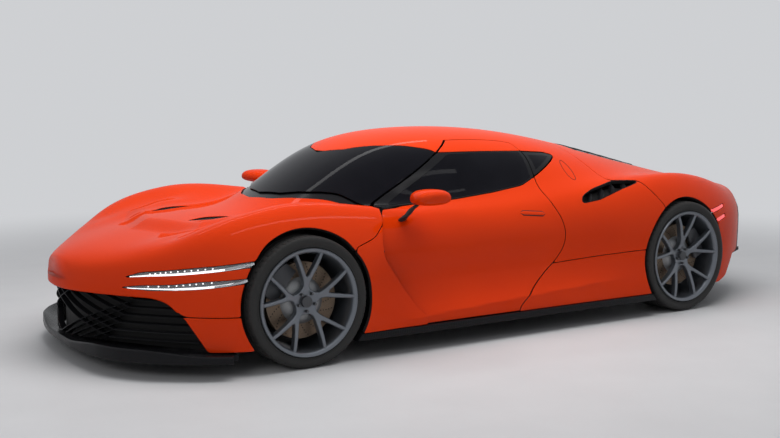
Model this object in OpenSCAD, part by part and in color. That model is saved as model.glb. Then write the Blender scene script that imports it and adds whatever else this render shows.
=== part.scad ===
// Mid-engined two-seat concept coupe, built from panels, glass, tub, running gear and wheels.
// +X is forward, +Y is left, +Z is up; the origin is on the ground under the middle of the car.

/* [Stance] */
// Distance between the axles
wheelbase = 2700; // [2500:10:2900]
// Nose tip ahead of the front axle
front_overhang = 992; // [900:1:1050]
// Tail corners behind the rear axle
rear_overhang = 870; // [800:1:930]
// Rear edge of the diffuser behind the tail corners
diffuser_reach = 82; // [70:1:110]
// Width that the body sections are drawn for
body_w = 2000; // [1900:10:2100]
// Centre plane to the outer face of the wheels
wheel_face_y = 968; // [940:1:980]

/* [Wheels] */
// Front tyre radius
front_tyre_r = 330; // [315:1:345]
// Front tyre width
front_tyre_w = 255; // [235:1:275]
// Front rim flange radius
front_rim_r = 270; // [255:1:280]
// Rear tyre radius
rear_tyre_r = 348; // [335:1:360]
// Rear tyre width
rear_tyre_w = 315; // [285:1:335]
// Rear rim flange radius
rear_rim_r = 285; // [265:1:295]
// Brake disc radius
disc_r = 195; // [170:1:205]
// Brake disc thickness
disc_t = 34; // [24:1:40]
// Spindle radius in the hub
spindle_r = 28; // [20:1:34]
// Spokes, each split in two at the rim
spokes = 5; // [4:1:7]

/* [Panels] */
// Thickness of a fixed body panel
skin_t = 30; // [20:1:40]
// Thickness of a door
door_t = 78; // [60:1:95]
// Thickness of the glass
glass_t = 6; // [4:1:10]
// Gap around a door
shut_gap = 6; // [5:0.5:9]
// Top of the black skirts, where the painted panels end
skirt_top = 140; // [120:1:160]
// Underside of the floor
floor_z = 100; // [90:1:115]
// Thickness of the floor plate
floor_t = 22; // [15:1:30]
// Gap between the tyre and the edge of its arch
arch_gap = 28; // [24:1:40]

/* [Doors] */
// Hinge axis behind the front axle
hinge_back = 446; // [440:1:452]
// Hinge axis from the centre plane
hinge_y = 929; // [925:1:931]
// Hinge axis to the rearmost point of the door
door_l = 1264; // [1150:1:1290]
// Hinge pin radius
hinge_pin_r = 5; // [4:0.5:6]

/* [Steering] */
// Kingpin inside the outer face of the wheels
kingpin_inset = 165; // [155:1:180]
// Kingpin radius
kingpin_r = 11; // [9:0.5:14]
// Steering wheel radius
steering_wheel_r = 172; // [160:1:185]

/* [Cabin] */
// Seat position behind the front axle
seat_back = 1420; // [1380:1:1460]
// Seat centre from the centre plane
seat_y = 345; // [320:1:370]
// Seat width
seat_w = 480; // [440:1:500]

/* [Hidden] */
$fn = 64;
LEFT = 1;
RIGHT = -1;
paint = [0.95, 0.22, 0.03];
black = [0.05, 0.05, 0.06];
glass_tint = [0.06, 0.07, 0.08, 0.6];
gunmetal = [0.35, 0.36, 0.39];
steel = [0.6, 0.6, 0.62];

half_w = body_w / 2;
front_axle_x = (wheelbase + rear_overhang + diffuser_reach - front_overhang) / 2;
rear_axle_x = front_axle_x - wheelbase;
front_arch_r = front_tyre_r + arch_gap;
rear_arch_r = rear_tyre_r + arch_gap;
floor_top = floor_z + floor_t;
door_bottom = skirt_top + shut_gap;
hinge_x = front_axle_x - hinge_back;
kingpin_y = wheel_face_y - kingpin_inset;
run_gap = 6;
seat_clear = 0.3;
bearing_clear = 0.05;

// Body sections from nose to tail. The station is -1 at the nose, 0 at the front axle,
// 1 at the rear axle and 2 at the tail. Widths are shares of half the body's width, heights are in mm.
// Columns: station, tail bow, then width and height of rocker, ledge, waist, side, crown, belt and
// rail, and the height of the top.
SECTIONS = [
    [-1, 0, 0, 120, 0, 240, 0, 375, 0, 420, 0, 460, 0, 485, 0, 500, 505],
    [-0.990, 0, 0.180, 120, 0.180, 240, 0.185, 375, 0.190, 425, 0.170, 475, 0.125, 505, 0.070, 520, 525],
    [-0.847, 0, 0.440, 120, 0.445, 240, 0.455, 370, 0.455, 440, 0.430, 520, 0.300, 560, 0.150, 575, 580],
    [-0.635, 0, 0.740, 120, 0.740, 240, 0.745, 360, 0.745, 460, 0.700, 625, 0.420, 620, 0.200, 625, 630],
    [-0.393, 0, 0.955, 120, 0.955, 240, 0.955, 350, 0.955, 500, 0.840, 820, 0.460, 650, 0.220, 665, 670],
    [0, 0, 0.985, 100, 0.995, 220, 1.000, 360, 1.005, 550, 0.800, 935, 0.470, 655, 0.240, 690, 695],
    [0.130, 0, 0.960, 80, 0.975, 200, 0.965, 360, 0.975, 560, 0.820, 860, 0.640, 690, 0.420, 850, 910],
    [0.270, 0, 0.950, 80, 0.965, 200, 0.900, 360, 0.945, 560, 0.840, 750, 0.730, 740, 0.590, 1090, 1150],
    [0.456, 0, 0.950, 80, 0.965, 200, 0.875, 360, 0.930, 570, 0.850, 740, 0.730, 780, 0.570, 1135, 1198],
    [0.641, 0, 0.950, 80, 0.965, 200, 0.885, 370, 0.940, 590, 0.860, 770, 0.740, 830, 0.530, 1105, 1180],
    [0.826, 0, 0.965, 80, 0.975, 200, 0.950, 390, 0.985, 610, 0.890, 840, 0.740, 860, 0.460, 990, 1115],
    [1, 0, 0.975, 80, 0.985, 220, 0.985, 410, 1.005, 620, 0.850, 950, 0.660, 820, 0.400, 910, 1000],
    [1.494, 10, 0.905, 140, 0.915, 270, 0.925, 440, 0.930, 620, 0.760, 855, 0.560, 800, 0.360, 830, 860],
    [1.839, 40, 0.740, 240, 0.750, 340, 0.765, 470, 0.765, 600, 0.650, 735, 0.500, 765, 0.300, 780, 785],
    [2, 70, 0.640, 270, 0.650, 360, 0.650, 480, 0.650, 600, 0.570, 710, 0.450, 745, 0.250, 755, 760]];
ROWS = len(SECTIONS);
// The scoop in the door behind the front wheel: section row, then how far ledge, waist and side move in
SCOOP = [[6, 25, 95, 32], [7, 18, 40, 15], [8, 5, 8, 3]];
TOP = 7;
LAST_COLUMN = 2 * TOP;
// Facets to each span of the sections, along the body and round it: on the skin, inside it and in the grille
STEPS = [2, 3];
INNER = [1, 2];
COARSE = [2, 1];

function station(p) =
    p < 0 ? front_axle_x - p * front_overhang :
    p <= 1 ? front_axle_x - p * wheelbase :
    rear_axle_x - (p - 1) * rear_overhang;
function clamp(a, low, high) = min(max(a, low), high);
function unit(a) = a / max(norm(a), 0.001);
function widest(row) = max([for (j = [0 : TOP - 1]) row[2 + 2 * j]]);
function scooped_in(i, j) =
    let (hits = [for (s = SCOOP) if (s[0] == i && j >= 1 && j <= 3) s[j]])
    len(hits) > 0 ? hits[0] : 0;

// A control point of the left half; column TOP is on the centre plane
function half_point(i, j, scoop) =
    let (row = SECTIONS[i], y = j == TOP ? 0 : row[2 + 2 * j], z = j == TOP ? row[16] : row[3 + 2 * j],
        bow = row[1] * (1 - pow(y / max(widest(row), 0.001), 2)))
    [station(row[0]) - bow, y * half_w - scoop * scooped_in(i, j), z];
// A control point at any row and column, with the right half mirrored and the ends run on
function net(i, j, scoop) =
    let (r = clamp(i, 0, ROWS - 1))
    j < 0 ? 2 * net(r, 0, scoop) - net(r, 1, scoop) :
    j > LAST_COLUMN ? 2 * net(r, LAST_COLUMN, scoop) - net(r, LAST_COLUMN - 1, scoop) :
    j <= TOP ? half_point(r, j, scoop) :
    let (m = half_point(r, LAST_COLUMN - j, scoop)) [m[0], -m[1], m[2]];
function net_normal(i, j, scoop) =
    i <= 0 ? [1, 0, 0] :
    unit(cross(net(i + 1, j, scoop) - net(i - 1, j, scoop), net(i, j + 1, scoop) - net(i, j - 1, scoop)));
// An inset net lies inside the skin, and runs out through the open bottom and tail
function inset_net(i, j, inset, scoop) =
    let (r = clamp(i, 0, ROWS - 1), c = clamp(j, 0, LAST_COLUMN), p = net(r, c, scoop))
    inset == 0 ? p :
    p - inset * net_normal(r, c, scoop)
        - [r == ROWS - 1 ? 60 : 0, 0, c == 0 || c == LAST_COLUMN ? 60 : 0];
function inset_edge(i, j, inset, scoop) =
    j < 0 ? 2 * inset_net(i, 0, inset, scoop) - inset_net(i, 1, inset, scoop) :
    j > LAST_COLUMN ?
        2 * inset_net(i, LAST_COLUMN, inset, scoop) - inset_net(i, LAST_COLUMN - 1, inset, scoop) :
    inset_net(i, j, inset, scoop);
// Weights of a uniform cubic spline
function weights(t) =
    [pow(1 - t, 3), 3 * pow(t, 3) - 6 * t * t + 4, -3 * pow(t, 3) + 3 * t * t + 3 * t + 1, pow(t, 3)] / 6;
function blend(points, first, w) =
    w[0] * points[first] + w[1] * points[first + 1] + w[2] * points[first + 2] + w[3] * points[first + 3];
// Sampled skin: a list of sections, each a list of points from the left rocker to the right one
function skin_grid(inset, scoop, steps) =
    let (table = [for (i = [-2 : ROWS + 1]) [for (j = [-1 : LAST_COLUMN + 1]) inset_edge(i, j, inset, scoop)]],
        spans_u = ROWS + 1, spans_v = LAST_COLUMN)
    [for (a = [0 : spans_u * steps[0]])
        let (i = min(floor(a / steps[0]), spans_u - 1), w = weights(a / steps[0] - i),
            row = [for (j = [0 : LAST_COLUMN + 2])
                w[0] * table[i][j] + w[1] * table[i + 1][j] + w[2] * table[i + 2][j] + w[3] * table[i + 3][j]])
        [for (b = [0 : spans_v * steps[1]])
            let (j = min(floor(b / steps[1]), spans_v - 1)) blend(row, j, weights(b / steps[1] - j))]];

// The whole body as one closed solid, inset from the skin
module loft(inset = 0, scoop = 0, steps = STEPS) {
    grid = skin_grid(inset, scoop, steps);
    rows = len(grid);
    cols = len(grid[0]);
    function at(i, j) = i == 0 && j > (cols - 1) / 2 ? cols - 1 - j : i * cols + j;
    sides = [for (i = [0 : rows - 2], j = [0 : cols - 2])
        each j < (cols - 1) / 2 ?
            [[at(i, j), at(i + 1, j + 1), at(i + 1, j)], [at(i, j), at(i, j + 1), at(i + 1, j + 1)]] :
            [[at(i, j), at(i, j + 1), at(i + 1, j)], [at(i, j + 1), at(i + 1, j + 1), at(i + 1, j)]]];
    bottom = [for (i = [0 : rows - 2])
        each [[at(i, 0), at(i + 1, 0), at(i + 1, cols - 1)],
            [at(i, 0), at(i + 1, cols - 1), at(i, cols - 1)]]];
    tail = [for (j = [0 : (cols - 1) / 2 - 1])
        each [[at(rows - 1, j), at(rows - 1, j + 1), at(rows - 1, cols - 1 - j)],
            [at(rows - 1, j + 1), at(rows - 1, cols - 2 - j), at(rows - 1, cols - 1 - j)]]];
    whole = [for (f = concat(sides, bottom, tail)) if (f[0] != f[1] && f[1] != f[2] && f[0] != f[2]) f];
    polyhedron(points = [for (row = grid) each row], faces = whole, convexity = 8);
}

module shell(thick, scoop = 0, from = 0, steps = STEPS) {
    difference() {
        loft(from, scoop, steps);
        loft(from + thick, scoop, thick < skin_t ? steps : INNER);
    }
}

// Cutting shapes
far = 3000;
module side_cut(outline) {
    rotate([90, 0, 0]) linear_extrude(2 * far, center = true) polygon(outline);
}
module plan_cut(outline) {
    linear_extrude(far) polygon(outline);
}
module half_space(side) {
    translate([-far, side == LEFT ? 0 : -far, 0]) cube([2 * far, far, far]);
}
module box(low, high) {
    translate(low) cube(high - low);
}
module arch(x, z, r) {
    translate([x, 0, z]) rotate([90, 0, 0]) cylinder(r = r, h = 2 * far, center = true, $fn = 72);
}
module arches() {
    arch(front_axle_x, front_tyre_r, front_arch_r);
    arch(rear_axle_x, rear_tyre_r, rear_arch_r);
}
module above_skirts() {
    box([-far, -far, skirt_top], [far, far, far]);
}
// Both sides of a plan outline that is given for the left half
function both_sides(left) = concat(left, [for (i = [len(left) - 1 : -1 : 0]) [left[i][0], -left[i][1]]]);

// Seams, as station and height or as station and share of the half width
pillar_foot = [0.183, 745];
pillar_top = [0.392, 1036];
DOOR_FRONT = [[0.263, 0], [0.263, 190], [0.245, 228], [0.201, 385], [0.1656, 515], [0.1656, 607],
    [0.177, 694], pillar_foot, pillar_top, [0.51, 1200], [0.9, 1200], [0.9, 0]];
// Inner edge of the door where it reaches into the roof, as station and share of the half width
DOOR_ROOF = [[0.10, 0.50], [0.38, 0.50], [0.42, 0.462], [0.58, 0.462], [0.66, 0.50], [0.90, 0.50]];
// Rear edge of the door: share of the door's length from the hinge axis, and height
DOOR_REAR = [[0.706, 0], [0.706, 160], [0.8035, 268], [0.951, 407], [0.992, 480], [1, 553], [0.9835, 641],
    [0.953, 720], [0.94, 795], [0.967, 884], [1.013, 1010], [1.013, 1200]];
WINDOW = [[0.222, 760], [0.300, 770], [0.387, 781], [0.479, 804], [0.564, 834], [0.618, 885], [0.718, 991],
    [0.690, 1010], [0.618, 1022], [0.500, 1028], [0.408, 1024]];
SCREEN_BASE = [[0.048, 0], [0.063, 0.2], [0.099, 0.38], [0.135, 0.52], [0.168, 0.68], [0.17, 0.80]];
HEADER = [[0.382, 0.545], [0.345, 0.49], [0.29, 0.38], [0.235, 0.2], [0.212, 0]];
function side_line(points) = [for (p = points) [station(p[0]), p[1]]];
function plan_line(points) = [for (p = points) [station(p[0]), p[1] * half_w]];

// The door's whole volume; its rear edge turns about the hinge axis, so its gap stays even as it swings
module door_cut(side, grow) {
    intersection() {
        half_space(side);
        rotate([90, 0, 0]) linear_extrude(2 * far, center = true)
            offset(delta = grow) polygon(side_line(DOOR_FRONT));
        translate([hinge_x, side * hinge_y, 0]) rotate_extrude($fn = 180) intersection() {
            offset(delta = grow)
                polygon(concat([[0, 0]], [for (p = DOOR_REAR) [p[0] * door_l, p[1]]], [[0, 1200]]));
            square([far, far]);
        }
        linear_extrude(far) offset(delta = grow)
            polygon([for (p = concat(DOOR_ROOF, [[0.90, 2], [0.10, 2]])) [station(p[0]), side * p[1] * half_w]]);
        box([-far, -far, door_bottom - grow], [far, far, far]);
    }
}
module both_doors(grow) {
    door_cut(LEFT, grow);
    door_cut(RIGHT, grow);
}
module window_cut() {
    side_cut(side_line(WINDOW));
}

// Side outline of the front clamshell: nose lip, grille corner, bumper seam, seam behind the wheel
splitter_top = 120;
bumper_seam_z = 290;
lip_z = 380;
GRILLE_EDGE = [[-0.50, splitter_top], [-0.592, bumper_seam_z], [-0.649, 360], [-0.70, lip_z], [-1.2, lip_z]];
FENDER_SEAM = [[0, bumper_seam_z], [0.100, bumper_seam_z], [0.100, 580], [0.1485, 622], [0.177, 694],
    [0.180, 760], [0.21, 800]];
module clamshell_cut() {
    side_cut(side_line(concat([[-1.2, 1300]], [for (i = [4 : -1 : 1]) GRILLE_EDGE[i]], FENDER_SEAM,
        [[0.21, 1300]])));
}
module screen_front_cut() {
    plan_cut(both_sides(concat([[far, 0], [far, far]], [[station(0.17), far]],
        [for (i = [len(SCREEN_BASE) - 1 : -1 : 0]) [station(SCREEN_BASE[i][0]), SCREEN_BASE[i][1] * half_w]])));
}
module screen_cut() {
    plan_cut(both_sides(concat(plan_line(SCREEN_BASE), plan_line([[0.25, 0.83], [0.40, 0.64]]),
        plan_line(HEADER))));
}

// Faceted panels keep their triangles as one mesh
module meshed() {
    resize([0, 0, 0]) children();
}

module front_clamshell() color(paint) meshed() difference() {
    intersection() {
        shell(skin_t);
        clamshell_cut();
        screen_front_cut();
    }
    arches();
    both_doors(shut_gap);
    hood_vent_cuts();
    lamp_cuts();
}

// Hood vents: two slots that slant back and out
vent_p = -0.26;
vent_y = 430;
vent_l = 330;
vent_w = 95;
module hood_vent_cuts() {
    for (side = [LEFT, RIGHT]) translate([station(vent_p), side * vent_y, 500]) rotate([0, 0, -side * 62])
        linear_extrude(500)
            polygon([[-vent_l / 2, -10], [vent_l / 2, -vent_w / 2], [vent_l / 2 - 40, vent_w / 2],
                [-vent_l / 2 + 60, 20]]);
}

// Headlamps: two slim slots on each side, as station and height
LAMP_UPPER = [[-0.788, 468], [-0.73, 496], [-0.63, 512], [-0.521, 529], [-0.27, 556],
    [-0.30, 528], [-0.521, 503], [-0.70, 481]];
LAMP_LOWER = [[-0.803, 417], [-0.739, 432], [-0.63, 443], [-0.521, 462], [-0.31, 476],
    [-0.34, 452], [-0.521, 428], [-0.704, 411]];
lamp_in = 350;
module lamp_cuts() {
    for (lamp = [LAMP_UPPER, LAMP_LOWER]) difference() {
        side_cut(side_line(lamp));
        box([0, -lamp_in, 0], [far, lamp_in, far]);
    }
}
module headlamps() color("white") meshed() difference() {
    intersection() {
        shell(skin_t, 0, 4);
        lamp_cuts();
    }
    arches();
}

module bumper_corners() color(paint) meshed() difference() {
    intersection() {
        shell(skin_t);
        side_cut(side_line([[0, splitter_top], [-0.50, splitter_top], [-0.592, bumper_seam_z],
            [0, bumper_seam_z]]));
    }
    arches();
}

module fender_panels() color(paint) meshed() difference() {
    intersection() {
        shell(skin_t);
        above_skirts();
        side_cut(side_line([[0, 0], [0.32, 0], [0.32, 720], [0, 720]]));
    }
    clamshell_cut();
    arches();
    both_doors(shut_gap);
    hinge_pockets();
}

// Seams of the rear: front edge of the rear clamshell, and the sill seam behind the door
REAR_SEAM = [[0.800, 1400], [0.800, 840], [0.876, 835], [0.927, 677], [0.95, 0]];
SILL_SEAM = [[0.45, 382], [0.602, 387], [0.733, 407], [0.839, 417], [1, 425]];
INTAKE = [[0.690, 722], [0.698, 762], [0.733, 798], [0.801, 836], [0.853, 838], [0.872, 828], [0.809, 790],
    [0.741, 738]];
module rear_cut() {
    side_cut(side_line(concat(REAR_SEAM, [[3, 0], [3, 1400]])));
}
module sill_cut() {
    side_cut(side_line(concat(SILL_SEAM, [[1, 0], [0.45, 0]])));
}
module intake_cut() {
    side_cut(side_line(INTAKE));
}
module roof_and_quarters() color(paint) meshed() difference() {
    intersection() {
        shell(skin_t);
        above_skirts();
        side_cut(side_line([[0.1, 0], [0.1, 1400], [1, 1400], [1, 0]]));
    }
    rear_cut();
    sill_cut();
    arches();
    both_doors(shut_gap);
    screen_cut();
    screen_front_cut();
    side_cut(side_line([[-1, 0], [-1, 1400], [0.20, 1400], [0.20, 780], [0.32, 720], [0.32, 0]]));
    intake_cut();
    difference() {
        window_cut();
        both_doors(shut_gap + 22);
    }
}

module quarter_windows() color(glass_tint) meshed() difference() {
    intersection() {
        shell(glass_t);
        window_cut();
        side_cut(side_line([[0.5, 0], [0.5, 1400], [1, 1400], [1, 0]]));
    }
    both_doors(shut_gap + 22);
}

module sill_panels() color(paint) meshed() difference() {
    intersection() {
        shell(skin_t);
        above_skirts();
        sill_cut();
    }
    arches();
    both_doors(shut_gap);
}

// Engine cover between the rear buttresses
COVER = [[0.86, 0.30], [1.0, 0.33], [1.30, 0.30], [1.45, 0.22]];
cover_louvres = 6;
louvre_pitch = 105;
louvre_w = 66;
cover_rim = 40;
module cover_cut(shrink = 0) {
    linear_extrude(far) offset(delta = -shrink) polygon(both_sides(plan_line(COVER)));
}
module rear_clamshell() color(paint) meshed() difference() {
    intersection() {
        shell(skin_t);
        above_skirts();
        rear_cut();
    }
    arches();
    intake_cut();
    cover_cut();
    lamp_slots();
    side_cut(side_line([[3, 0], [ramp_p, 0], [1.74, diffuser_top], [3, diffuser_top]]));
}

// Louvred cover: slats across a shallow frame
module engine_cover() color(black) meshed() intersection() {
    shell(skin_t);
    union() {
        difference() {
            cover_cut();
            cover_cut(cover_rim);
        }
        for (k = [1 : cover_louvres])
            translate([station(COVER[0][0]) - k * louvre_pitch, 0, 0])
                cube([louvre_w, body_w, 2 * far], center = true);
    }
    cover_cut();
    box([-far, -far, lip_z], [far, far, far]);
}

// Tail lamps: two short bars behind each rear wheel
LAMP_TAIL_UPPER = [[1.29, 628], [1.52, 655], [1.52, 634], [1.33, 608]];
LAMP_TAIL_LOWER = [[1.35, 566], [1.51, 592], [1.51, 568], [1.39, 546]];
module lamp_slots() {
    for (lamp = [LAMP_TAIL_UPPER, LAMP_TAIL_LOWER]) side_cut(side_line(lamp));
}
module tail_lamps() color("red") meshed() intersection() {
    shell(skin_t, 0, 2);
    lamp_slots();
}

// Tail: a fascia that closes the body behind, with air slots
tail_t = 30;
tail_set = 4;
tail_slots = 3;
slot_pitch = 62;
slot_h = 36;
slot_z = 480;
SLOT_Y = [30, 500];
module tail_panel() color(black) meshed() difference() {
    intersection() {
        loft(skin_t, 0, INNER);
        box([station(2) + tail_set - tail_t, -far, diffuser_top], [station(2) + tail_set, far, far]);
    }
    for (side = [LEFT, RIGHT], row = [0 : tail_slots - 1])
        box([-far, min(side * SLOT_Y), slot_z + slot_pitch * row - slot_h / 2],
            [station(1.9), max(side * SLOT_Y), slot_z + slot_pitch * row + slot_h / 2]);
}

// Grille: a lattice of crossed bars that follows the nose, set back under its lip
grille_set = 45;
grille_t = 26;
grille_back_t = 12;
lattice_pitch = 230;
lattice_bar = 22;
lattice_slope = 24;
lattice_z = 240;
lattice_bars = 8;
module grille_region() {
    side_cut(side_line(concat(GRILLE_EDGE, [[-1.2, splitter_top]])));
}
module lattice() {
    for (k = [-lattice_bars : lattice_bars], lean = [lattice_slope, -lattice_slope])
        translate([0, 0, lattice_z + k * lattice_pitch / 2 * cos(lattice_slope)]) rotate([lean, 0, 0])
            cube([2 * far, 2 * far, lattice_bar], center = true);
}
module grille() color(black) meshed() intersection() {
    union() {
        intersection() {
            shell(grille_t, 0, grille_set, COARSE);
            lattice();
        }
        shell(grille_back_t, 0, grille_set + grille_t - 1, COARSE);
    }
    grille_region();
}

// Splitter: flat blade round the nose, as station and share of the half width
SPLITTER = [[-0.965, 0], [-0.958, 0.12], [-0.925, 0.26], [-0.84, 0.43], [-0.715, 0.66], [-0.555, 0.87],
    [-0.40, 0.965], [-0.375, 0.965]];
splitter_z = 78;
module splitter() color(black) {
    translate([0, 0, splitter_z]) linear_extrude(splitter_top - splitter_z)
        polygon(both_sides(concat(plan_line(SPLITTER), [[station(-0.375), 500], [station(-0.30), 500]])));
}

// Skirts along the sills
skirt_out = 0.972;
skirt_in = 0.84;
module side_skirts() color(black) {
    for (side = [LEFT, RIGHT]) difference() {
        translate([0, 0, floor_z]) linear_extrude(skirt_top - floor_z)
            polygon([for (p = [[0.10, skirt_in], [0.10, 0.96], [0.22, skirt_out], [0.70, skirt_out],
                [0.90, 0.985], [0.90, skirt_in]]) [station(p[0]), side * p[1] * half_w]]);
        arches();
    }
}

module floor_pan() color(black) {
    translate([0, 0, floor_z]) linear_extrude(floor_t)
        polygon(both_sides([[station(-0.30), 0], [station(-0.30), floor_front_y], [station(0.14), floor_front_y],
            [station(0.14), skirt_in * half_w], [station(0.86), skirt_in * half_w],
            [station(0.86), floor_rear_y], [station(ramp_p), floor_rear_y], [station(ramp_p), 0]]));
    for (p = JACK_P, side = [LEFT, RIGHT])
        translate([station(p), side * jack_y, floor_z - jack_drop]) cylinder(r = jack_r, h = jack_drop + 1);
}
floor_front_y = 500;
floor_rear_y = 480;
// Round jack pads under the sills
JACK_P = [0.16, 0.84];
jack_y = 760;
jack_r = 45;
jack_drop = 8;

// Diffuser: a ramp with fins under the tail
ramp_p = 1.40;
diffuser_top = 300;
diffuser_w = 0.60;
fin_w = 0.50;
fin_t = 14;
fins = 6;
module diffuser() color(black) {
    ramp_start = station(ramp_p);
    ramp_end = station(2) - diffuser_reach;
    rotate([90, 0, 0]) linear_extrude(2 * diffuser_w * half_w, center = true)
        polygon([[ramp_start, floor_z], [ramp_start, floor_top], [ramp_end + 60, diffuser_top],
            [ramp_end, diffuser_top], [ramp_end, diffuser_top - floor_t]]);
    for (k = [0 : fins - 1])
        translate([0, (2 * k / (fins - 1) - 1) * fin_w * half_w, 0])
            rotate([90, 0, 0]) linear_extrude(fin_t, center = true)
                polygon([[ramp_start - 40, floor_z + 20], [ramp_end + 20, diffuser_top - 20],
                    [ramp_end + 40, floor_z + 60]]);
}

module windscreen() color(glass_tint) meshed() difference() {
    intersection() {
        shell(glass_t);
        screen_cut();
        box([-far, -far, 690], [far, far, far]);
    }
    both_doors(shut_gap);
    screen_front_cut();
}

// Dark inserts: mesh of the hood vents and the mouths of the side intakes
module vent_inserts() color(black) meshed() {
    intersection() {
        shell(mesh_t, 0, mesh_set, INNER);
        hood_vent_cuts();
    }
    difference() {
        intersection() {
            shell(intake_depth, 0, skin_t, INNER);
            offset_intake();
        }
        intersection() {
            intake_cut();
            shell(intake_depth - mesh_t + 1, 0, skin_t - 1, INNER);
        }
    }
}
mesh_t = 12;
mesh_set = 14;
intake_depth = 44;
intake_rim = 12;
module offset_intake() {
    rotate([90, 0, 0]) linear_extrude(2 * far, center = true) offset(delta = intake_rim) polygon(side_line(INTAKE));
}

module door(side) {
    color(paint) meshed() difference() {
        intersection() {
            shell(door_t, 1);
            door_cut(side, 0);
        }
        intersection() {
            window_cut();
            door_cut(side, -24);
        }
    }
    color(steel) for (z = HINGE_Z) hinge_leaf(side, z);
}
module door_glass(side) color(glass_tint) meshed() intersection() {
    shell(glass_t, 1);
    window_cut();
    door_cut(side, -24);
}

// Door hinges: eyes on the door turn on a pin between fixed brackets
HINGE_Z = [500, 532];
hinge_h = 22;
hinge_eye_r = 10;
hinge_leaf_l = 70;
hinge_leaf_t = 24;
bracket_t = 8;
hinge_low = HINGE_Z[0] - hinge_h / 2 - bracket_t - seat_clear;
hinge_high = HINGE_Z[1] + hinge_h / 2 + bracket_t + seat_clear;
module hinge_leaf(side, z) {
    translate([hinge_x, side * hinge_y, z]) difference() {
        union() {
            cylinder(r = hinge_eye_r, h = hinge_h, center = true);
            mirror([0, side == LEFT ? 0 : 1, 0]) {
                box([-hinge_leaf_l, -hinge_leaf_t - hinge_eye_r, -hinge_h / 2], [0, -hinge_eye_r, hinge_h / 2]);
                box([-hinge_eye_r, -2 * hinge_eye_r, -hinge_h / 2], [0, 0, hinge_h / 2]);
            }
        }
        cylinder(r = hinge_pin_r + bearing_clear, h = 2 * hinge_h, center = true);
    }
}
// Fixed side of the hinges: one pin, with a bracket above, between and below the eyes
module hinge_pins(side) {
    translate([hinge_x, side * hinge_y, hinge_low]) cylinder(r = hinge_pin_r, h = hinge_high - hinge_low);
    mirror([0, side == LEFT ? 0 : 1, 0]) {
        for (z = [hinge_low, hinge_high - bracket_t]) {
            translate([hinge_x, hinge_y, z]) cylinder(r = hinge_eye_r - 2, h = bracket_t);
            box([hinge_x + hinge_eye_r / 2, sill_in, z],
                [station(tub_front_p), hinge_y + hinge_eye_r - 3, z + bracket_t]);
        }
        box([station(tub_front_p) - bracket_t, sill_in, sill_h - 1], [station(tub_front_p), sill_out, hinge_high]);
    }
}
// Room for the hinges inside the fender panels
module hinge_pockets() {
    box([hinge_x - hinge_leaf_l, -hinge_y - hinge_eye_r - 1, hinge_low - run_gap / 2],
        [station(tub_front_p) + run_gap, hinge_y + hinge_eye_r + 1, hinge_high + run_gap / 2]);
}

// Door mirrors: a rounded pod on a slim arm
mirror_p = 0.255;
mirror_y = 1045;
mirror_z = 815;
mirror_r = 60;
mirror_flat = 0.62;
arm_foot = [65, -235, -125];
module mirror_pod(side) color(paint) meshed() difference() {
    translate([station(mirror_p), side * mirror_y, mirror_z]) mirror([0, side == LEFT ? 0 : 1, 0]) {
        hull() {
            scale([1, 1, mirror_flat]) sphere(r = mirror_r, $fn = 14);
            translate([10, -75, -4]) scale([1, 1, mirror_flat]) sphere(r = 50, $fn = 14);
            translate([70, -10, 0]) scale([1, 1, mirror_flat]) sphere(r = 26, $fn = 12);
        }
        hull() {
            translate([15, -85, -18]) sphere(r = 15, $fn = 12);
            translate(arm_foot) scale([2, 1, 1]) sphere(r = 15, $fn = 12);
        }
    }
    loft(0, 1);
}

// Tub, frames and liners
tub_front_p = 0.155;
tub_rear_p = 0.71;
tub_wall = 34;
sill_in = 600;
sill_out = 740;
sill_h = 330;
tunnel_y = 100;
tunnel_top = 300;
module tub() color(black) {
    x0 = station(tub_rear_p);
    x1 = station(tub_front_p);
    for (side = [LEFT, RIGHT])
        box([x0, min(side * sill_in, side * sill_out), floor_top],
            [x1, max(side * sill_in, side * sill_out), sill_h]);
    box([x1 - tub_wall, -sill_in, floor_top], [x1, sill_in, 640]);
    box([x0, -sill_in, floor_top], [x0 + tub_wall, sill_in, 700]);
    translate([x0, 0, 0]) rotate([90, 0, 90]) linear_extrude(tub_wall)
        polygon([[-560, 700], [560, 700], [400, 930], [-400, 930]]);
    box([x0, -tunnel_y, floor_top], [x1, tunnel_y, tunnel_top]);
    for (side = [LEFT, RIGHT]) hinge_pins(side);
}
frame_y = 380;
rail_w = 70;
rail_h = 110;
rail_z = 215;
module rail(x0, x1, side) {
    box([x0, side * frame_y - rail_w / 2, rail_z], [x1, side * frame_y + rail_w / 2, rail_z + rail_h]);
}
// Posts that carry the suspension arms, with a foot out to the wheel liner
post_w = 40;
module posts(x, z, side, liner_y) {
    top = z + ARM_Z[1] + 2 * arm_r;
    for (dx = [-arm_spread, arm_spread])
        mirror([0, side == LEFT ? 0 : 1, 0]) translate([x + dx - post_w / 2, 0, 0]) {
            box([0, frame_y - rail_w / 2, floor_top], [post_w, frame_y + rail_w / 2, top + bracket_t]);
            box([0, frame_y, top], [post_w, liner_y, top + bracket_t]);
        }
}
module front_frame() color(steel) {
    for (side = [LEFT, RIGHT]) {
        rail(station(tub_front_p), station(-0.60), side);
        posts(front_axle_x, front_tyre_r, side, front_liner_y);
    }
    box([station(-0.60), -480, splitter_top], [station(-0.60) + 60, 480, 330]);
}
module rear_frame() color(steel) {
    for (side = [LEFT, RIGHT]) {
        rail(station(1.72), station(tub_rear_p), side);
        posts(rear_axle_x, rear_tyre_r, side, rear_liner_y);
    }
    box([station(1.72) - 40, -440, rail_z + 30], [station(1.72), 440, diffuser_top + 120]);
}
liner_t = 5;
liner_gap = 16;
liner_drop = 60;
liner_out = 0.86;
front_liner_y = 500;
rear_liner_y = 520;
front_liner_top = 660;
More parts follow.
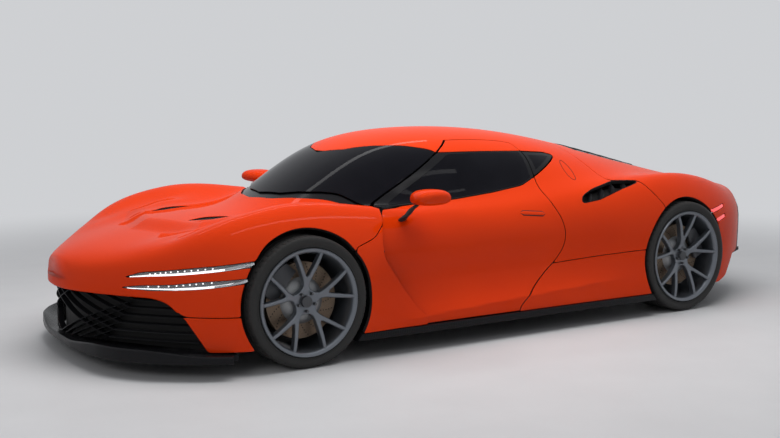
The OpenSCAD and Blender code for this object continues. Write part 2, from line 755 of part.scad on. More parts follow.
// Arched liners, open round the suspension arms; the hood closes the front ones above
module liner_outline(r, top) {
    intersection() {
        circle(r = r, $fn = 96);
        translate([-r, -liner_drop]) square([2 * r, liner_drop + top]);
    }
}
module liner(x, tyre_r, arch_r, inner_y, top) {
    r = arch_r + liner_gap;
    arm_room = arm_spread + 4 * arm_r;
    for (side = [LEFT, RIGHT]) mirror([0, side == LEFT ? 0 : 1, 0])
        translate([x, inner_y, tyre_r]) rotate([-90, 0, 0]) mirror([0, 1, 0]) {
            linear_extrude(liner_t) difference() {
                liner_outline(r + liner_t, top - tyre_r);
                translate([-arm_room, -r]) square([2 * arm_room, r + ARM_Z[1] + 2 * arm_r]);
            }
            linear_extrude(liner_out * half_w - inner_y) difference() {
                liner_outline(r + liner_t, top - tyre_r);
                circle(r = r, $fn = 96);
            }
        }
}
module wheel_liners() color(black) {
    liner(front_axle_x, front_tyre_r, front_arch_r, front_liner_y, front_liner_top);
    liner(rear_axle_x, rear_tyre_r, rear_arch_r, rear_liner_y, far);
}

// Cabin
module dashboard() color(black) {
    x1 = station(tub_front_p) - tub_wall;
    rotate([90, 0, 0]) linear_extrude(2 * 560, center = true)
        polygon([[x1, 480], [x1, 640], [x1 - 160, 690], [x1 - 300, 660], [x1 - 320, 590], [x1 - 160, 520]]);
}
wheel_tilt = 24;
module steering_wheel() color(black) {
    x1 = station(tub_front_p) - tub_wall - 310;
    difference() {
        translate([x1, seat_y, 600]) rotate([0, -90 + wheel_tilt, 0]) cylinder(r = 26, h = 100);
        dashboard();
    }
    translate([x1, seat_y, 600]) rotate([0, -90 + wheel_tilt, 0]) {
        translate([0, 0, 100]) {
            rotate_extrude($fn = 48) translate([steering_wheel_r, 0]) circle(r = 14, $fn = 16);
            for (a = [0, 120, 240]) rotate([0, 0, a + 60]) translate([0, -18, -8])
                cube([steering_wheel_r, 36, 16]);
            cylinder(r = 48, h = 30, center = true);
        }
    }
}
module seats() color(black) {
    for (side = [LEFT, RIGHT]) translate([station(0) - seat_back, side * seat_y, floor_top]) {
        box([200, -seat_w / 2, 0], [700, seat_w / 2, 60]);
        rotate([90, 0, 0]) linear_extrude(seat_w, center = true)
            polygon([[150, 60], [700, 60], [720, 190], [640, 230], [260, 170], [60, 720], [-20, 740], [-60, 690]]);
    }
}
module engine() color(steel) {
    box([station(0.90), -250, rail_z - 40], [station(tub_rear_p) - 90, 250, 640]);
    box([station(1.24), -150, rail_z - 10], [station(0.90), 150, 500]);
    for (side = [LEFT, RIGHT])
        box([station(0.84) - 60, min(side * 250, side * (frame_y - rail_w / 2)), rail_z + 20],
            [station(0.84) + 60, max(side * 250, side * (frame_y - rail_w / 2)), rail_z + 80]);
}

// Suspension: a tube between two points
module tube(a, b, r) {
    d = b - a;
    translate(a) rotate([0, acos(d[2] / norm(d)), atan2(d[1], d[0])]) cylinder(r = r, h = norm(d), $fn = 24);
}
arm_r = 15;
arm_spread = 130;
boss_r = 24;
boss_h = 34;
ARM_Z = [-115, 135];
module wishbone(x, z, apex_y, side, bore) {
    difference() {
        union() {
            for (dx = [-arm_spread, arm_spread])
                tube([x, side * apex_y, z], [x + dx, side * frame_y, z], arm_r);
            translate([x, side * apex_y, z]) cylinder(r = boss_r, h = boss_h, center = true);
        }
        if (bore > 0) translate([x, side * apex_y, z]) cylinder(r = bore, h = far, center = true);
        box([x - far, -frame_y - rail_w / 2, 0], [x + far, frame_y + rail_w / 2, far]);
    }
}
module front_wishbones() color(steel) {
    for (side = [LEFT, RIGHT], dz = ARM_Z)
        wishbone(front_axle_x, front_tyre_r + dz, kingpin_y, side, kingpin_r + bearing_clear);
}
rear_apex_y = 770;
module rear_wishbones() color(steel) {
    for (side = [LEFT, RIGHT], dz = ARM_Z)
        wishbone(rear_axle_x, rear_tyre_r + dz, rear_apex_y, side, kingpin_r + seat_clear);
    for (side = [LEFT, RIGHT])
        translate([rear_axle_x, side * 150, rear_tyre_r]) rotate([-90 * side, 0, 0])
            cylinder(r = 22, h = rear_apex_y - 40 - 150);
}

// Uprights: a post on the kingpin line, a bearing housing, a spindle and a caliper over the disc
disc_y = 118;
housing_r = 62;
module upright(x, z, apex_y, side, caliper_angle) {
    face = side * wheel_face_y;
    translate([x, side * apex_y, z]) {
        translate([0, 0, ARM_Z[0] + boss_h / 2 + 2]) cylinder(r = 27, h = ARM_Z[1] - ARM_Z[0] - boss_h - 4);
        translate([0, 0, ARM_Z[0] - boss_h / 2 - 6]) cylinder(r = kingpin_r, h = ARM_Z[1] - ARM_Z[0] + boss_h + 12);
        rotate([-90 * side, 0, 0]) {
            cylinder(r = housing_r, h = wheel_face_y - apex_y - disc_y - disc_t / 2 - run_gap);
            cylinder(r = spindle_r, h = wheel_face_y - apex_y - 34);
        }
    }
    translate([x, face, z]) rotate([-90 * side, 0, 0]) rotate([0, 0, -side * caliper_angle]) caliper(side);
}
// A caliper in the wheel's own frame: the disc's middle plane is disc_y inside the outer face
caliper_w = 190;
module caliper(side) {
    depth = disc_t + 2 * run_gap;
    difference() {
        intersection() {
            translate([disc_r - 68, -caliper_w / 2, -disc_y - depth / 2 - 26])
                cube([68 + 24, caliper_w, depth + 48]);
            cylinder(r = disc_r + 22, h = 4 * far, center = true);
        }
        translate([0, 0, -disc_y]) cylinder(r = disc_r + run_gap, h = depth, center = true);
    }
    translate([0, -30, -disc_y - depth / 2 - 26]) cube([disc_r - 60, 60, 24]);
}
module rear_uprights() color(steel) {
    for (side = [LEFT, RIGHT])
        upright(rear_axle_x, rear_tyre_r, rear_apex_y, side, 155);
}

// Wheels: the outer face is at z = 0 and the axis is +Z
module tyre_shape(tyre_r, tyre_w, rim_r) {
    seat = rim_r - 16;
    rotate_extrude($fn = 96) polygon([[seat + seat_clear, -16], [rim_r + 4, -12], [rim_r + 16, -1],
        [tyre_r - 34, 0], [tyre_r - 10, -14], [tyre_r, -40], [tyre_r, -tyre_w + 40], [tyre_r - 10, -tyre_w + 14],
        [tyre_r - 34, -tyre_w], [rim_r + 16, -tyre_w + 1], [rim_r + 4, -tyre_w + 12],
        [seat + seat_clear, -tyre_w + 16]]);
}
hub_r = 84;
module rim_shape(tyre_w, rim_r) {
    seat = rim_r - 16;
    inner = seat - 14;
    rotate_extrude($fn = 96) polygon([[seat, -14], [rim_r, -10], [rim_r, -2], [rim_r - 6, 0], [inner + 8, -8],
        [inner, -24], [inner, -tyre_w + 12], [rim_r, -tyre_w + 2], [rim_r, -tyre_w + 10],
        [seat, -tyre_w + 14]]);
    intersection() {
        linear_extrude(400, center = true) for (k = [0 : spokes - 1]) rotate(90 + k * 360 / spokes) spoke(inner);
        rotate_extrude($fn = 96) polygon([[0, -20], [hub_r, -22], [inner - 60, -30], [inner + 4, -8],
            [inner + 4, -52], [inner - 50, -66], [hub_r, -56], [0, -56]]);
    }
    difference() {
        translate([0, 0, -disc_y + disc_t / 2 + 2]) cylinder(r = hub_r - 12, h = disc_y - disc_t / 2 - 24);
        translate([0, 0, -disc_y - disc_t]) cylinder(r = spindle_r + bearing_clear, h = disc_y + disc_t - 32);
    }
}
// One spoke that parts into two arms
module spoke(inner) {
    root = 30;
    fork = inner * 0.52;
    arm = 13;
    half_turn = 180 / spokes / 2 + 1;
    polygon([[hub_r - 30, -root], [fork, -21], [fork, 21], [hub_r - 30, root]]);
    for (lean = [half_turn, -half_turn])
        polygon([[fork - 14, lean > 0 ? -2 : -21], [fork - 14, lean > 0 ? 21 : 2],
            [(inner + 6) * cos(lean + 3.2), (inner + 6) * sin(lean + 3.2)],
            [(inner + 6) * cos(lean - 3.2), (inner + 6) * sin(lean - 3.2)]]);
}
module disc_shape() {
    translate([0, 0, -disc_y]) difference() {
        union() {
            cylinder(r = disc_r, h = disc_t, center = true, $fn = 96);
            translate([0, 0, disc_t / 2 - 10]) cylinder(r = hub_r + 10, h = 12);
        }
        cylinder(r = spindle_r + bearing_clear, h = 4 * disc_t, center = true);
    }
}
module at_wheel(x, z, side) {
    translate([x, side * wheel_face_y, z]) mirror([0, side == LEFT ? 0 : 1, 0]) rotate([-90, 0, 0]) children();
}
module front_tyre(side) color(black) at_wheel(front_axle_x, front_tyre_r, side)
    tyre_shape(front_tyre_r, front_tyre_w, front_rim_r);
module rear_tyre(side) color(black) at_wheel(rear_axle_x, rear_tyre_r, side)
    tyre_shape(rear_tyre_r, rear_tyre_w, rear_rim_r);
module front_wheel(side) color(gunmetal) at_wheel(front_axle_x, front_tyre_r, side) {
    rim_shape(front_tyre_w, front_rim_r);
    disc_shape();
}
module rear_wheel(side) color(gunmetal) at_wheel(rear_axle_x, rear_tyre_r, side) {
    rim_shape(rear_tyre_w, rear_rim_r);
    disc_shape();
}
module front_upright(side) color(steel) upright(front_axle_x, front_tyre_r, kingpin_y, side, 38);

front_clamshell();
bumper_corners();
fender_panels();
roof_and_quarters();
sill_panels();
rear_clamshell();
engine_cover();
tail_panel();
grille();
splitter();
side_skirts();
diffuser();
floor_pan();
windscreen();
quarter_windows();
vent_inserts();
headlamps();
tail_lamps();
tub();
front_frame();
rear_frame();
wheel_liners();
dashboard();
steering_wheel();
seats();
engine();
front_wishbones();
rear_wishbones();
rear_uprights();
door(LEFT);  // door_left
door(RIGHT);  // door_right
door_glass(LEFT);  // door_glass_left
door_glass(RIGHT);  // door_glass_right
mirror_pod(LEFT);  // mirror_left
mirror_pod(RIGHT);  // mirror_right
front_upright(LEFT);  // front_upright_left
front_upright(RIGHT);  // front_upright_right
front_tyre(LEFT);  // tyre_front_left
front_tyre(RIGHT);  // tyre_front_right
rear_tyre(LEFT);  // tyre_rear_left
rear_tyre(RIGHT);  // tyre_rear_right
front_wheel(LEFT);  // wheel_front_left
front_wheel(RIGHT);  // wheel_front_right
rear_wheel(LEFT);  // wheel_rear_left
rear_wheel(RIGHT);  // wheel_rear_right
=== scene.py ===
import math

import bmesh
import bpy
import numpy as np
from mathutils import Matrix, Vector


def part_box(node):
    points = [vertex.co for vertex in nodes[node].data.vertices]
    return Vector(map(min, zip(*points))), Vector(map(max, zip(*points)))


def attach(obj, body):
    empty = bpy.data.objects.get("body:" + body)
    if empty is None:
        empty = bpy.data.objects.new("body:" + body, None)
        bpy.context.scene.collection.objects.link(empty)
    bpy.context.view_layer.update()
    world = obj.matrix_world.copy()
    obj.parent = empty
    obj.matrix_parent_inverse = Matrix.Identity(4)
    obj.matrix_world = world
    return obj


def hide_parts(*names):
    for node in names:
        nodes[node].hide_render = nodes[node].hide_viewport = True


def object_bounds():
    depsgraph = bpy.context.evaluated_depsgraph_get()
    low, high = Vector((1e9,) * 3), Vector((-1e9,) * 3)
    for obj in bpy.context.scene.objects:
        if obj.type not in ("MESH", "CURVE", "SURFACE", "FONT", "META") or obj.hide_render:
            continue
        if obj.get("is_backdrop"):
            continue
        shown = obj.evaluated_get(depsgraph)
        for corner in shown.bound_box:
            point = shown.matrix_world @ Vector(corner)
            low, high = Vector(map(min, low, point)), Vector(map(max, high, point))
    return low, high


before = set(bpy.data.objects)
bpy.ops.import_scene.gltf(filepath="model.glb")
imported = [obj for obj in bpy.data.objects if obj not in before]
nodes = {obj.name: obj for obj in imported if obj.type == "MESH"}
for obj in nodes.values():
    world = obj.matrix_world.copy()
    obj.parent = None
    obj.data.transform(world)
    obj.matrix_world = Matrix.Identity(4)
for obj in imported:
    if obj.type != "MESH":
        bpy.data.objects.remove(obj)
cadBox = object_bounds()
scene = bpy.context.scene
print("stage: frame loaded,", len(nodes), "nodes")


class Shade:
    # a socket in a material's tree; sums written on it add Math nodes
    def __init__(self, tree, socket):
        self.tree = tree
        self.socket = socket

    def add(self, kind, settings=None, values=None, out=0):
        node = self.tree.nodes.new(kind)
        for key, value in (settings or {}).items():
            setattr(node, key, value)
        for key, value in (values or {}).items():
            plug(self.tree, node.inputs[key], value)
        return Shade(self.tree, node.outputs[out])

    def maths(self, operation, first, second):
        return self.add("ShaderNodeMath", {"operation": operation}, {0: first, 1: second})

    def __add__(self, other):
        return self.maths("ADD", self, other)

    def __mul__(self, other):
        return self.maths("MULTIPLY", self, other)

    def __gt__(self, other):
        return self.maths("GREATER_THAN", self, other)

    __radd__ = __add__
    __rmul__ = __mul__

    def noise(self, scale, detail=2.0, stretch=(1, 1, 1)):
        spread = self.add("ShaderNodeMapping", None, {"Vector": self, "Scale": stretch})
        return self.add("ShaderNodeTexNoise", None, {"Vector": spread, "Scale": scale, "Detail": detail})

    def cells(self, scale):
        return self.add("ShaderNodeTexVoronoi", None, {"Vector": self, "Scale": scale})

    def between(self, low, high):
        return self.add("ShaderNodeMix", {"data_type": "RGBA"}, {0: self, 6: (*low, 1), 7: (*high, 1)}, 2)

    def bump(self, strength, distance):
        return self.add("ShaderNodeBump", None, {"Strength": strength, "Distance": distance, "Height": self})


def plug(tree, socket, value):
    if isinstance(value, Shade):
        tree.links.new(value.socket, socket)
    elif isinstance(value, tuple) and len(value) == 3 and len(socket.default_value) == 4:
        socket.default_value = (*value, 1)
    else:
        socket.default_value = value


def finishOf(name, recipe):
    mat = bpy.data.materials.new(name)
    mat.use_nodes = True
    tree = mat.node_tree
    coords = tree.nodes.new("ShaderNodeTexCoord")
    for key, value in recipe(Shade(tree, coords.outputs["Object"])).items():
        plug(tree, tree.nodes["Principled BSDF"].inputs[key], value)
    return mat


def orangePaint(at):
    flake = at.noise(1500, 0)
    cloud = at.noise(2.2, 1)
    return {"Base Color": (cloud * 0.6 + flake * 0.4).between((0.70, 0.036, 0.002), (0.80, 0.050, 0.003)),
            "Roughness": flake * 0.10 + 0.26, "Normal": at.noise(260, 1).bump(0.02, 0.0004),
            "Coat Weight": 0.34, "Coat Roughness": 0.03, "Coat IOR": 1.38, "Specular IOR Level": 0.0}


def glossBlack(at):
    fine = at.noise(700, 2)
    return {"Base Color": fine.between((0.006, 0.006, 0.007), (0.012, 0.012, 0.014)),
            "Roughness": fine * 0.08 + 0.14, "Specular IOR Level": 0.10}


def satinBlack(at):
    grain = at.noise(1800, 3)
    return {"Base Color": grain.between((0.006, 0.006, 0.007), (0.014, 0.014, 0.016)),
            "Roughness": grain * 0.2 + 0.42, "Normal": grain.bump(0.12, 0.0004), "Specular IOR Level": 0.3}


# near-black: the own colour of liners and black-trim backs, and painted shade where it lines panel shut lines,
# pockets, seams and disc holes
def innerDark(at):
    grain = at.noise(500, 2)
    return {"Base Color": grain.between((0.006, 0.006, 0.006), (0.014, 0.013, 0.013)), "Roughness": grain * 0.2 + 0.7}


def carbonWeave(at):
    # twill: warp and weft strips swap on a slanted step
    cloth = at.add("ShaderNodeMapping", None, {"Vector": at, "Rotation": (0.6, 0.5, 0.785), "Scale": (260, 260, 260)})
    twill = at.add("ShaderNodeTexChecker", None, {"Vector": cloth, "Scale": 1.0,
                   "Color1": (1, 1, 1), "Color2": (0, 0, 0)}, 1)
    fibre = at.noise(2600, 1)
    return {"Base Color": (twill * 0.7 + fibre * 0.3).between((0.003, 0.003, 0.004), (0.013, 0.013, 0.015)),
            "Roughness": twill * 0.14 + 0.26, "Normal": twill.bump(0.08, 0.0003), "Specular IOR Level": 0.08,
            "Coat Weight": 0.12, "Coat Roughness": 0.08}


def tintedGlass(at):
    ripple = at.noise(6, 1)
    return {"Base Color": ripple.between((0.004, 0.004, 0.006), (0.008, 0.008, 0.011)),
            "Roughness": ripple * 0.02 + 0.01, "Alpha": ripple * 0.03 + 0.95, "Specular IOR Level": 0.05}


def clearLens(at):
    ripple = at.noise(40, 1)
    return {"Base Color": ripple.between((0.55, 0.57, 0.6), (0.7, 0.72, 0.75)), "Roughness": ripple * 0.02 + 0.02,
            "Alpha": ripple * 0.05 + 0.16, "Coat Weight": 0.8, "Coat Roughness": 0.02}


def lampWhite(at):
    prism = at.noise(300, 1)
    return {"Base Color": prism.between((0.8, 0.82, 0.85), (0.95, 0.95, 0.97)), "Roughness": prism * 0.1 + 0.2,
            "Emission Color": prism.between((0.86, 0.88, 0.92), (1, 1, 1)), "Emission Strength": 1.6}


def lampRed(at):
    prism = at.noise(220, 1)
    return {"Base Color": prism.between((0.45, 0.01, 0.012), (0.62, 0.015, 0.02)), "Roughness": prism * 0.1 + 0.12,
            "Emission Color": prism.between((0.8, 0.015, 0.02), (1, 0.05, 0.04)), "Emission Strength": 0.9,
            "Coat Weight": 1.0, "Coat Roughness": 0.03}


def brightMetal(at):
    brush = at.noise(90, 3, (1, 14, 14))
    return {"Base Color": brush.between((0.5, 0.51, 0.53), (0.72, 0.73, 0.75)), "Metallic": 1.0,
            "Roughness": brush * 0.16 + 0.14}


def wheelAlloy(at):
    fleck = at.noise(1200, 1)
    dust = at.noise(14, 3)
    return {"Base Color": (fleck * 0.5 + dust * 0.5).between((0.100, 0.112, 0.130), (0.190, 0.205, 0.230)),
            "Metallic": 0.75, "Roughness": dust * 0.12 + 0.27, "Normal": fleck.bump(0.02, 0.0003), "Coat Weight": 0.4,
            "Coat Roughness": 0.12}


def bronzeDisc(at):
    swirl = at.noise(160, 3)
    return {"Base Color": swirl.between((0.11, 0.078, 0.054), (0.22, 0.165, 0.12)), "Metallic": 0.8,
            "Roughness": swirl * 0.2 + 0.34, "Normal": swirl.bump(0.05, 0.0004)}


def caliperGrey(at):
    cast = at.noise(420, 3)
    return {"Base Color": cast.between((0.045, 0.047, 0.052), (0.085, 0.088, 0.095)), "Metallic": 0.35,
            "Roughness": cast * 0.2 + 0.36, "Normal": cast.bump(0.12, 0.0006)}


def tyreRubber(at):
    pore = at.noise(1400, 3)
    scuff = at.noise(25, 4)
    return {"Base Color": (pore * 0.4 + scuff * 0.6).between((0.006, 0.006, 0.006), (0.020, 0.019, 0.018)),
            "Roughness": scuff * 0.22 + 0.58, "Normal": pore.bump(0.25, 0.0005)}


def castAlloy(at):
    cast = at.noise(350, 4)
    return {"Base Color": cast.between((0.20, 0.205, 0.21), (0.36, 0.365, 0.37)), "Metallic": 0.8,
            "Roughness": cast * 0.25 + 0.38, "Normal": cast.bump(0.3, 0.0008)}


def darkSteel(at):
    mill = at.noise(220, 3, (1, 6, 6))
    return {"Base Color": mill.between((0.06, 0.062, 0.066), (0.13, 0.133, 0.14)), "Metallic": 0.7,
            "Roughness": mill * 0.2 + 0.38}


def cabinTrim(at):
    nap = at.noise(2400, 4)
    worn = at.noise(18, 2)
    return {"Base Color": (nap * 0.6 + worn * 0.4).between((0.012, 0.012, 0.013), (0.040, 0.039, 0.040)),
            "Roughness": nap * 0.15 + 0.78, "Normal": nap.bump(0.35, 0.0006)}


def seatLeather(at):
    pebble = at.cells(620)
    soft = at.noise(30, 3)
    return {"Base Color": (pebble * 0.5 + soft * 0.5).between((0.018, 0.017, 0.017), (0.055, 0.052, 0.050)),
            "Roughness": soft * 0.18 + 0.42, "Normal": pebble.bump(0.35, 0.0007), "Sheen Weight": 0.15}


def orangeThread(at):
    twist = at.noise(900, 2)
    return {"Base Color": twist.between((0.55, 0.05, 0.01), (0.80, 0.10, 0.02)), "Roughness": twist * 0.2 + 0.6}


def darkScreen(at):
    haze = at.noise(60, 1)
    return {"Base Color": haze.between((0.004, 0.005, 0.008), (0.010, 0.012, 0.018)), "Roughness": haze * 0.05 + 0.06,
            "Coat Weight": 0.7, "Coat Roughness": 0.03}


mats = {f.__name__: finishOf(f.__name__, f) for f in (
    orangePaint, glossBlack, satinBlack, innerDark, carbonWeave, tintedGlass, clearLens,
    lampWhite, lampRed, brightMetal, wheelAlloy, bronzeDisc, caliperGrey, tyreRubber,
    castAlloy, darkSteel, cabinTrim, seatLeather, orangeThread, darkScreen)}
print("stage: finishes", len(mats))


def newPiece(name, verts, faces, finishes, groups=None, normals=None, body="car_body", slot=None, replaces=(),
             angle=35):
    mesh = bpy.data.meshes.new(name)
    lists = [row for block in faces for row in np.asarray(block).tolist()]
    mesh.from_pydata(np.asarray(verts, float).tolist(), [], lists)
    mesh.polygons.foreach_set("use_smooth", np.ones(len(lists), bool))
    for key in finishes:
        mesh.materials.append(mats[key])
    if groups is not None:
        mesh.polygons.foreach_set("material_index", np.asarray(groups, np.int32))
    if normals is not None:
        mesh.normals_split_custom_set(np.asarray(normals, float).tolist())
    else:
        mesh.set_sharp_from_angle(angle=math.radians(angle))
    mesh.update()
    return adopt(mesh, name, body, slot, replaces)


def adopt(mesh, name, body, slot, replaces=()):
    obj = bpy.data.objects.new(name, mesh)
    scene.collection.objects.link(obj)
    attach(obj, body)
    if replaces:
        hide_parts(*replaces)
    return obj


def sided(verts, faces, sign):
    # the shape itself, or its mirror image with the faces turned to match
    verts = np.asarray(verts, float) * [1, sign, 1]
    return verts, faces if sign > 0 else [np.asarray(f)[:, ::-1] for f in faces]


class Heap:
    # verts and faces of several shapes gathered into one mesh
    def __init__(self):
        self.verts, self.faces, self.groups, self.count = [], [], [], 0

    def put(self, verts, faces, group=0):
        for block in faces:
            block = np.asarray(block)
            if len(block):
                self.faces.append(block + self.count)
                self.groups.append(np.full(len(block), group))
        self.verts.append(np.asarray(verts, float))
        self.count += len(verts)

    def mirrored(self, verts, faces, group=0):
        for sign in (1, -1):
            self.put(*sided(verts, faces, sign), group)

    def piece(self, name, finishes, **rest):
        return newPiece(name, np.concatenate(self.verts), self.faces, finishes, np.concatenate(self.groups), **rest)


# body surface: the source's section table, sampled finely
bodyTable = {
    "frontX": 1.330, "rearX": -1.370, "frontReach": 0.992, "base": 2.700, "rearReach": 0.870, "edge": 0.0152,
    "rows": [
        [-1, 0, 0, 120, 0, 240, 0, 375, 0, 420, 0, 460, 0, 485, 0, 500, 505],
        [-0.990, 0, .180, 120, .180, 240, .185, 375, .190, 425, .170, 475, .125, 505, .070, 520, 525],
        [-0.847, 0, .440, 120, .445, 240, .455, 370, .455, 440, .430, 520, .300, 560, .150, 575, 580],
        [-0.635, 0, .740, 120, .740, 240, .745, 360, .745, 460, .700, 625, .420, 620, .200, 625, 630],
        [-0.393, 0, .955, 120, .955, 240, .955, 350, .955, 500, .840, 820, .460, 650, .220, 665, 670],
        [0, 0, .985, 100, .995, 220, 1.000, 360, 1.005, 550, .800, 935, .470, 655, .240, 690, 695],
        [0.130, 0, .960, 80, .975, 200, .965, 360, .975, 560, .820, 860, .640, 690, .420, 850, 910],
        [0.270, 0, .950, 80, .965, 200, .900, 360, .945, 560, .840, 750, .730, 740, .590, 1090, 1150],
        [0.456, 0, .950, 80, .965, 200, .875, 360, .930, 570, .850, 740, .730, 780, .570, 1135, 1198],
        [0.641, 0, .950, 80, .965, 200, .885, 370, .940, 590, .860, 770, .740, 830, .530, 1105, 1180],
        [0.826, 0, .965, 80, .975, 200, .950, 390, .985, 610, .890, 840, .740, 860, .460, 990, 1115],
        [1, 0, .975, 80, .985, 220, .985, 410, 1.005, 620, .850, 950, .660, 820, .400, 910, 1000],
        [1.494, 10, .905, 140, .915, 270, .925, 440, .930, 620, .760, 855, .560, 800, .360, 830, 860],
        [1.839, 40, .740, 240, .750, 340, .765, 470, .765, 600, .650, 735, .500, 765, .300, 780, 785],
        [2, 70, .640, 270, .650, 360, .650, 480, .650, 600, .570, 710, .450, 745, .250, 755, 760]],
    "scoop": {6: (25, 95, 32), 7: (18, 40, 15), 8: (5, 8, 3)},
}


def stationX(p):
    if p < 0:
        return bodyTable["frontX"] - p * bodyTable["frontReach"]
    if p <= 1:
        return bodyTable["frontX"] - p * bodyTable["base"]
    return bodyTable["rearX"] - (p - 1) * bodyTable["rearReach"]


def controlNet(scooped):
    rows = bodyTable["rows"]
    net = np.zeros((len(rows), 15, 3))
    for i, row in enumerate(rows):
        wide = max(max(row[2:16:2]), 0.001)
        for j in range(8):
            y = 0 if j == 7 else row[2 + 2 * j]
            z = row[16] if j == 7 else row[3 + 2 * j]
            dip = bodyTable["scoop"].get(i, (0, 0, 0))[j - 1] / 1000 if scooped and 1 <= j <= 3 else 0
            net[i, j] = [stationX(row[0]) - row[1] * (1 - (y / wide) ** 2) / 1000, y - dip, z / 1000]
            net[i, 14 - j] = net[i, j] * [1, -1, 1]
    net = np.concatenate([net[:1], net[:1], net, net[-1:], net[-1:]])
    return np.concatenate([2 * net[:, :1] - net[:, 1:2], net, 2 * net[:, -1:] - net[:, -2:-1]], 1)


nets = {False: controlNet(False), True: controlNet(True)}


def splineWeights(t):
    return np.stack([(1 - t) ** 3, 3 * t ** 3 - 6 * t * t + 4, -3 * t ** 3 + 3 * t * t + 3 * t + 1, t ** 3], -1) / 6


crestDip = {"depth": 0.015, "spread": 0.085, "front": (1.90, 0.575), "rear": (1.50, 0.660),
            "start": (2.02, 0.20), "stop": (1.36, 0.22)}
hoodDome = {"rise": 0.038, "soft": 0.125, "fade": (1.13, 0.45), "ahead": 0.85, "above": 0.5,
            "edge": [(1.85, -.5), (1.85, 0), (1.81, .16), (1.76, .34), (1.70, .48), (1.55, .535), (1.40, .56),
                     (1.20, .62), (1.05, .64), (0.8, .64), (0.8, -.5)]}
sillEdge = {"rise": 0.016, "spread": 0.035, "blunt": 0.004, "front": (0.70, 0.185), "rear": (-0.50, 0.245),
            "below": 0.45, "reach": (0.85, -0.95), "start": (0.80, 0.12), "stop": (-0.90, 0.40)}


def unit(rows, least=1e-9):
    return rows / np.maximum(np.linalg.norm(rows, axis=1), least)[:, None]


def smooth(a):
    a = np.clip(a, 0, 1)
    return a * a * (3 - 2 * a)


def bodySkin(uv, scooped=False):
    net = nets[scooped]
    u, v = uv[:, 0], uv[:, 1]
    i = np.clip(u.astype(int), 0, net.shape[0] - 4)
    j = np.clip(v.astype(int), 0, net.shape[1] - 4)
    wu, wv = splineWeights(u - i), splineWeights(v - j)
    pos = np.zeros((len(uv), 3))
    for a in range(4):
        for b in range(4):
            pos += (wu[:, a] * wv[:, b])[:, None] * net[i + a, j + b]
    # raised middle of the hood, and a dip on the inner side of each fender crest
    top = (pos[:, 0] > hoodDome["ahead"]) & (pos[:, 2] > hoodDome["above"])
    if top.any():
        away = domeField(np.stack([pos[top, 0], np.abs(pos[top, 1])], 1))
        start, reach = hoodDome["fade"]
        ramp = smooth((pos[top, 0] - start) / reach)
        pos[top, 2] += hoodDome["rise"] * smooth(0.5 - away / hoodDome["soft"]) * ramp
        (x0, y0), (x1, y1) = crestDip["front"], crestDip["rear"]
        x, y = pos[top, 0], np.abs(pos[top, 1])
        away = (y - y0 - (y1 - y0) * (x0 - x) / (x0 - x1)) / crestDip["spread"]
        (start, fadeIn), (stop, fadeOut) = crestDip["start"], crestDip["stop"]
        first, last = smooth((start - x) / fadeIn), smooth((x - stop) / fadeOut)
        pos[top, 2] -= crestDip["depth"] * np.exp(-away ** 2) * first * last
    # sharp lower edge along the door and the sill behind it
    front, rear = sillEdge["reach"]
    low = (pos[:, 2] < sillEdge["below"]) & (pos[:, 0] < front) & (pos[:, 0] > rear)
    if low.any():
        x, z = pos[low, 0], pos[low, 2]
        (x0, z0), (x1, z1) = sillEdge["front"], sillEdge["rear"]
        line = z0 + (z1 - z0) * (x0 - x) / (x0 - x1)
        (start, fadeIn), (stop, fadeOut) = sillEdge["start"], sillEdge["stop"]
        fade = smooth((start - x) / fadeIn) * smooth((x - stop) / fadeOut)
        away = np.sqrt((z - line) ** 2 + sillEdge["blunt"] ** 2)
        lift = sillEdge["rise"] * fade * np.exp(-away / sillEdge["spread"])
        pos[low, 1] += np.sign(pos[low, 1]) * lift
    return pos


def polyField(points):
    starts = np.array(points, float)
    ends = np.roll(starts, -1, 0)

    def field(q):
        best = np.full(len(q), 1e9)
        inside = np.zeros(len(q), bool)
        for a, b in zip(starts, ends):
            d = b - a
            t = np.clip(((q - a) @ d) / max(d @ d, 1e-12), 0, 1)
            best = np.minimum(best, np.hypot(q[:, 0] - a[0] - t * d[0], q[:, 1] - a[1] - t * d[1]))
            if a[1] != b[1]:
                crosses = (a[1] > q[:, 1]) != (b[1] > q[:, 1])
                inside ^= crosses & (q[:, 0] < a[0] + (q[:, 1] - a[1]) / (b[1] - a[1]) * d[0])
        return np.where(inside, -best, best)
    return field


domeField = polyField(hoodDome["edge"])


def rounded(points, reach):
    points = np.array(points, float)
    out = []
    for k in range(len(points)):
        here, before, after = points[k], points[k - 1], points[(k + 1) % len(points)]
        a = here + (before - here) * min(0.45, reach / max(np.hypot(*(before - here)), 1e-9))
        b = here + (after - here) * min(0.45, reach / max(np.hypot(*(after - here)), 1e-9))
        for t in (0, 0.25, 0.5, 0.75, 1):
            out.append((1 - t) ** 2 * a + 2 * t * (1 - t) * here + t * t * b)
    return out


def sidePoly(points, reach=0.02):
    field = polyField(rounded([(stationX(p), z / 1000) for p, z in points], reach))
    return lambda pos: field(pos[:, [0, 2]])


def planPoly(points, reach=0.02):
    field = polyField(rounded([(stationX(p), y) for p, y in points], reach))
    return lambda pos: field(np.stack([pos[:, 0], np.abs(pos[:, 1])], 1))


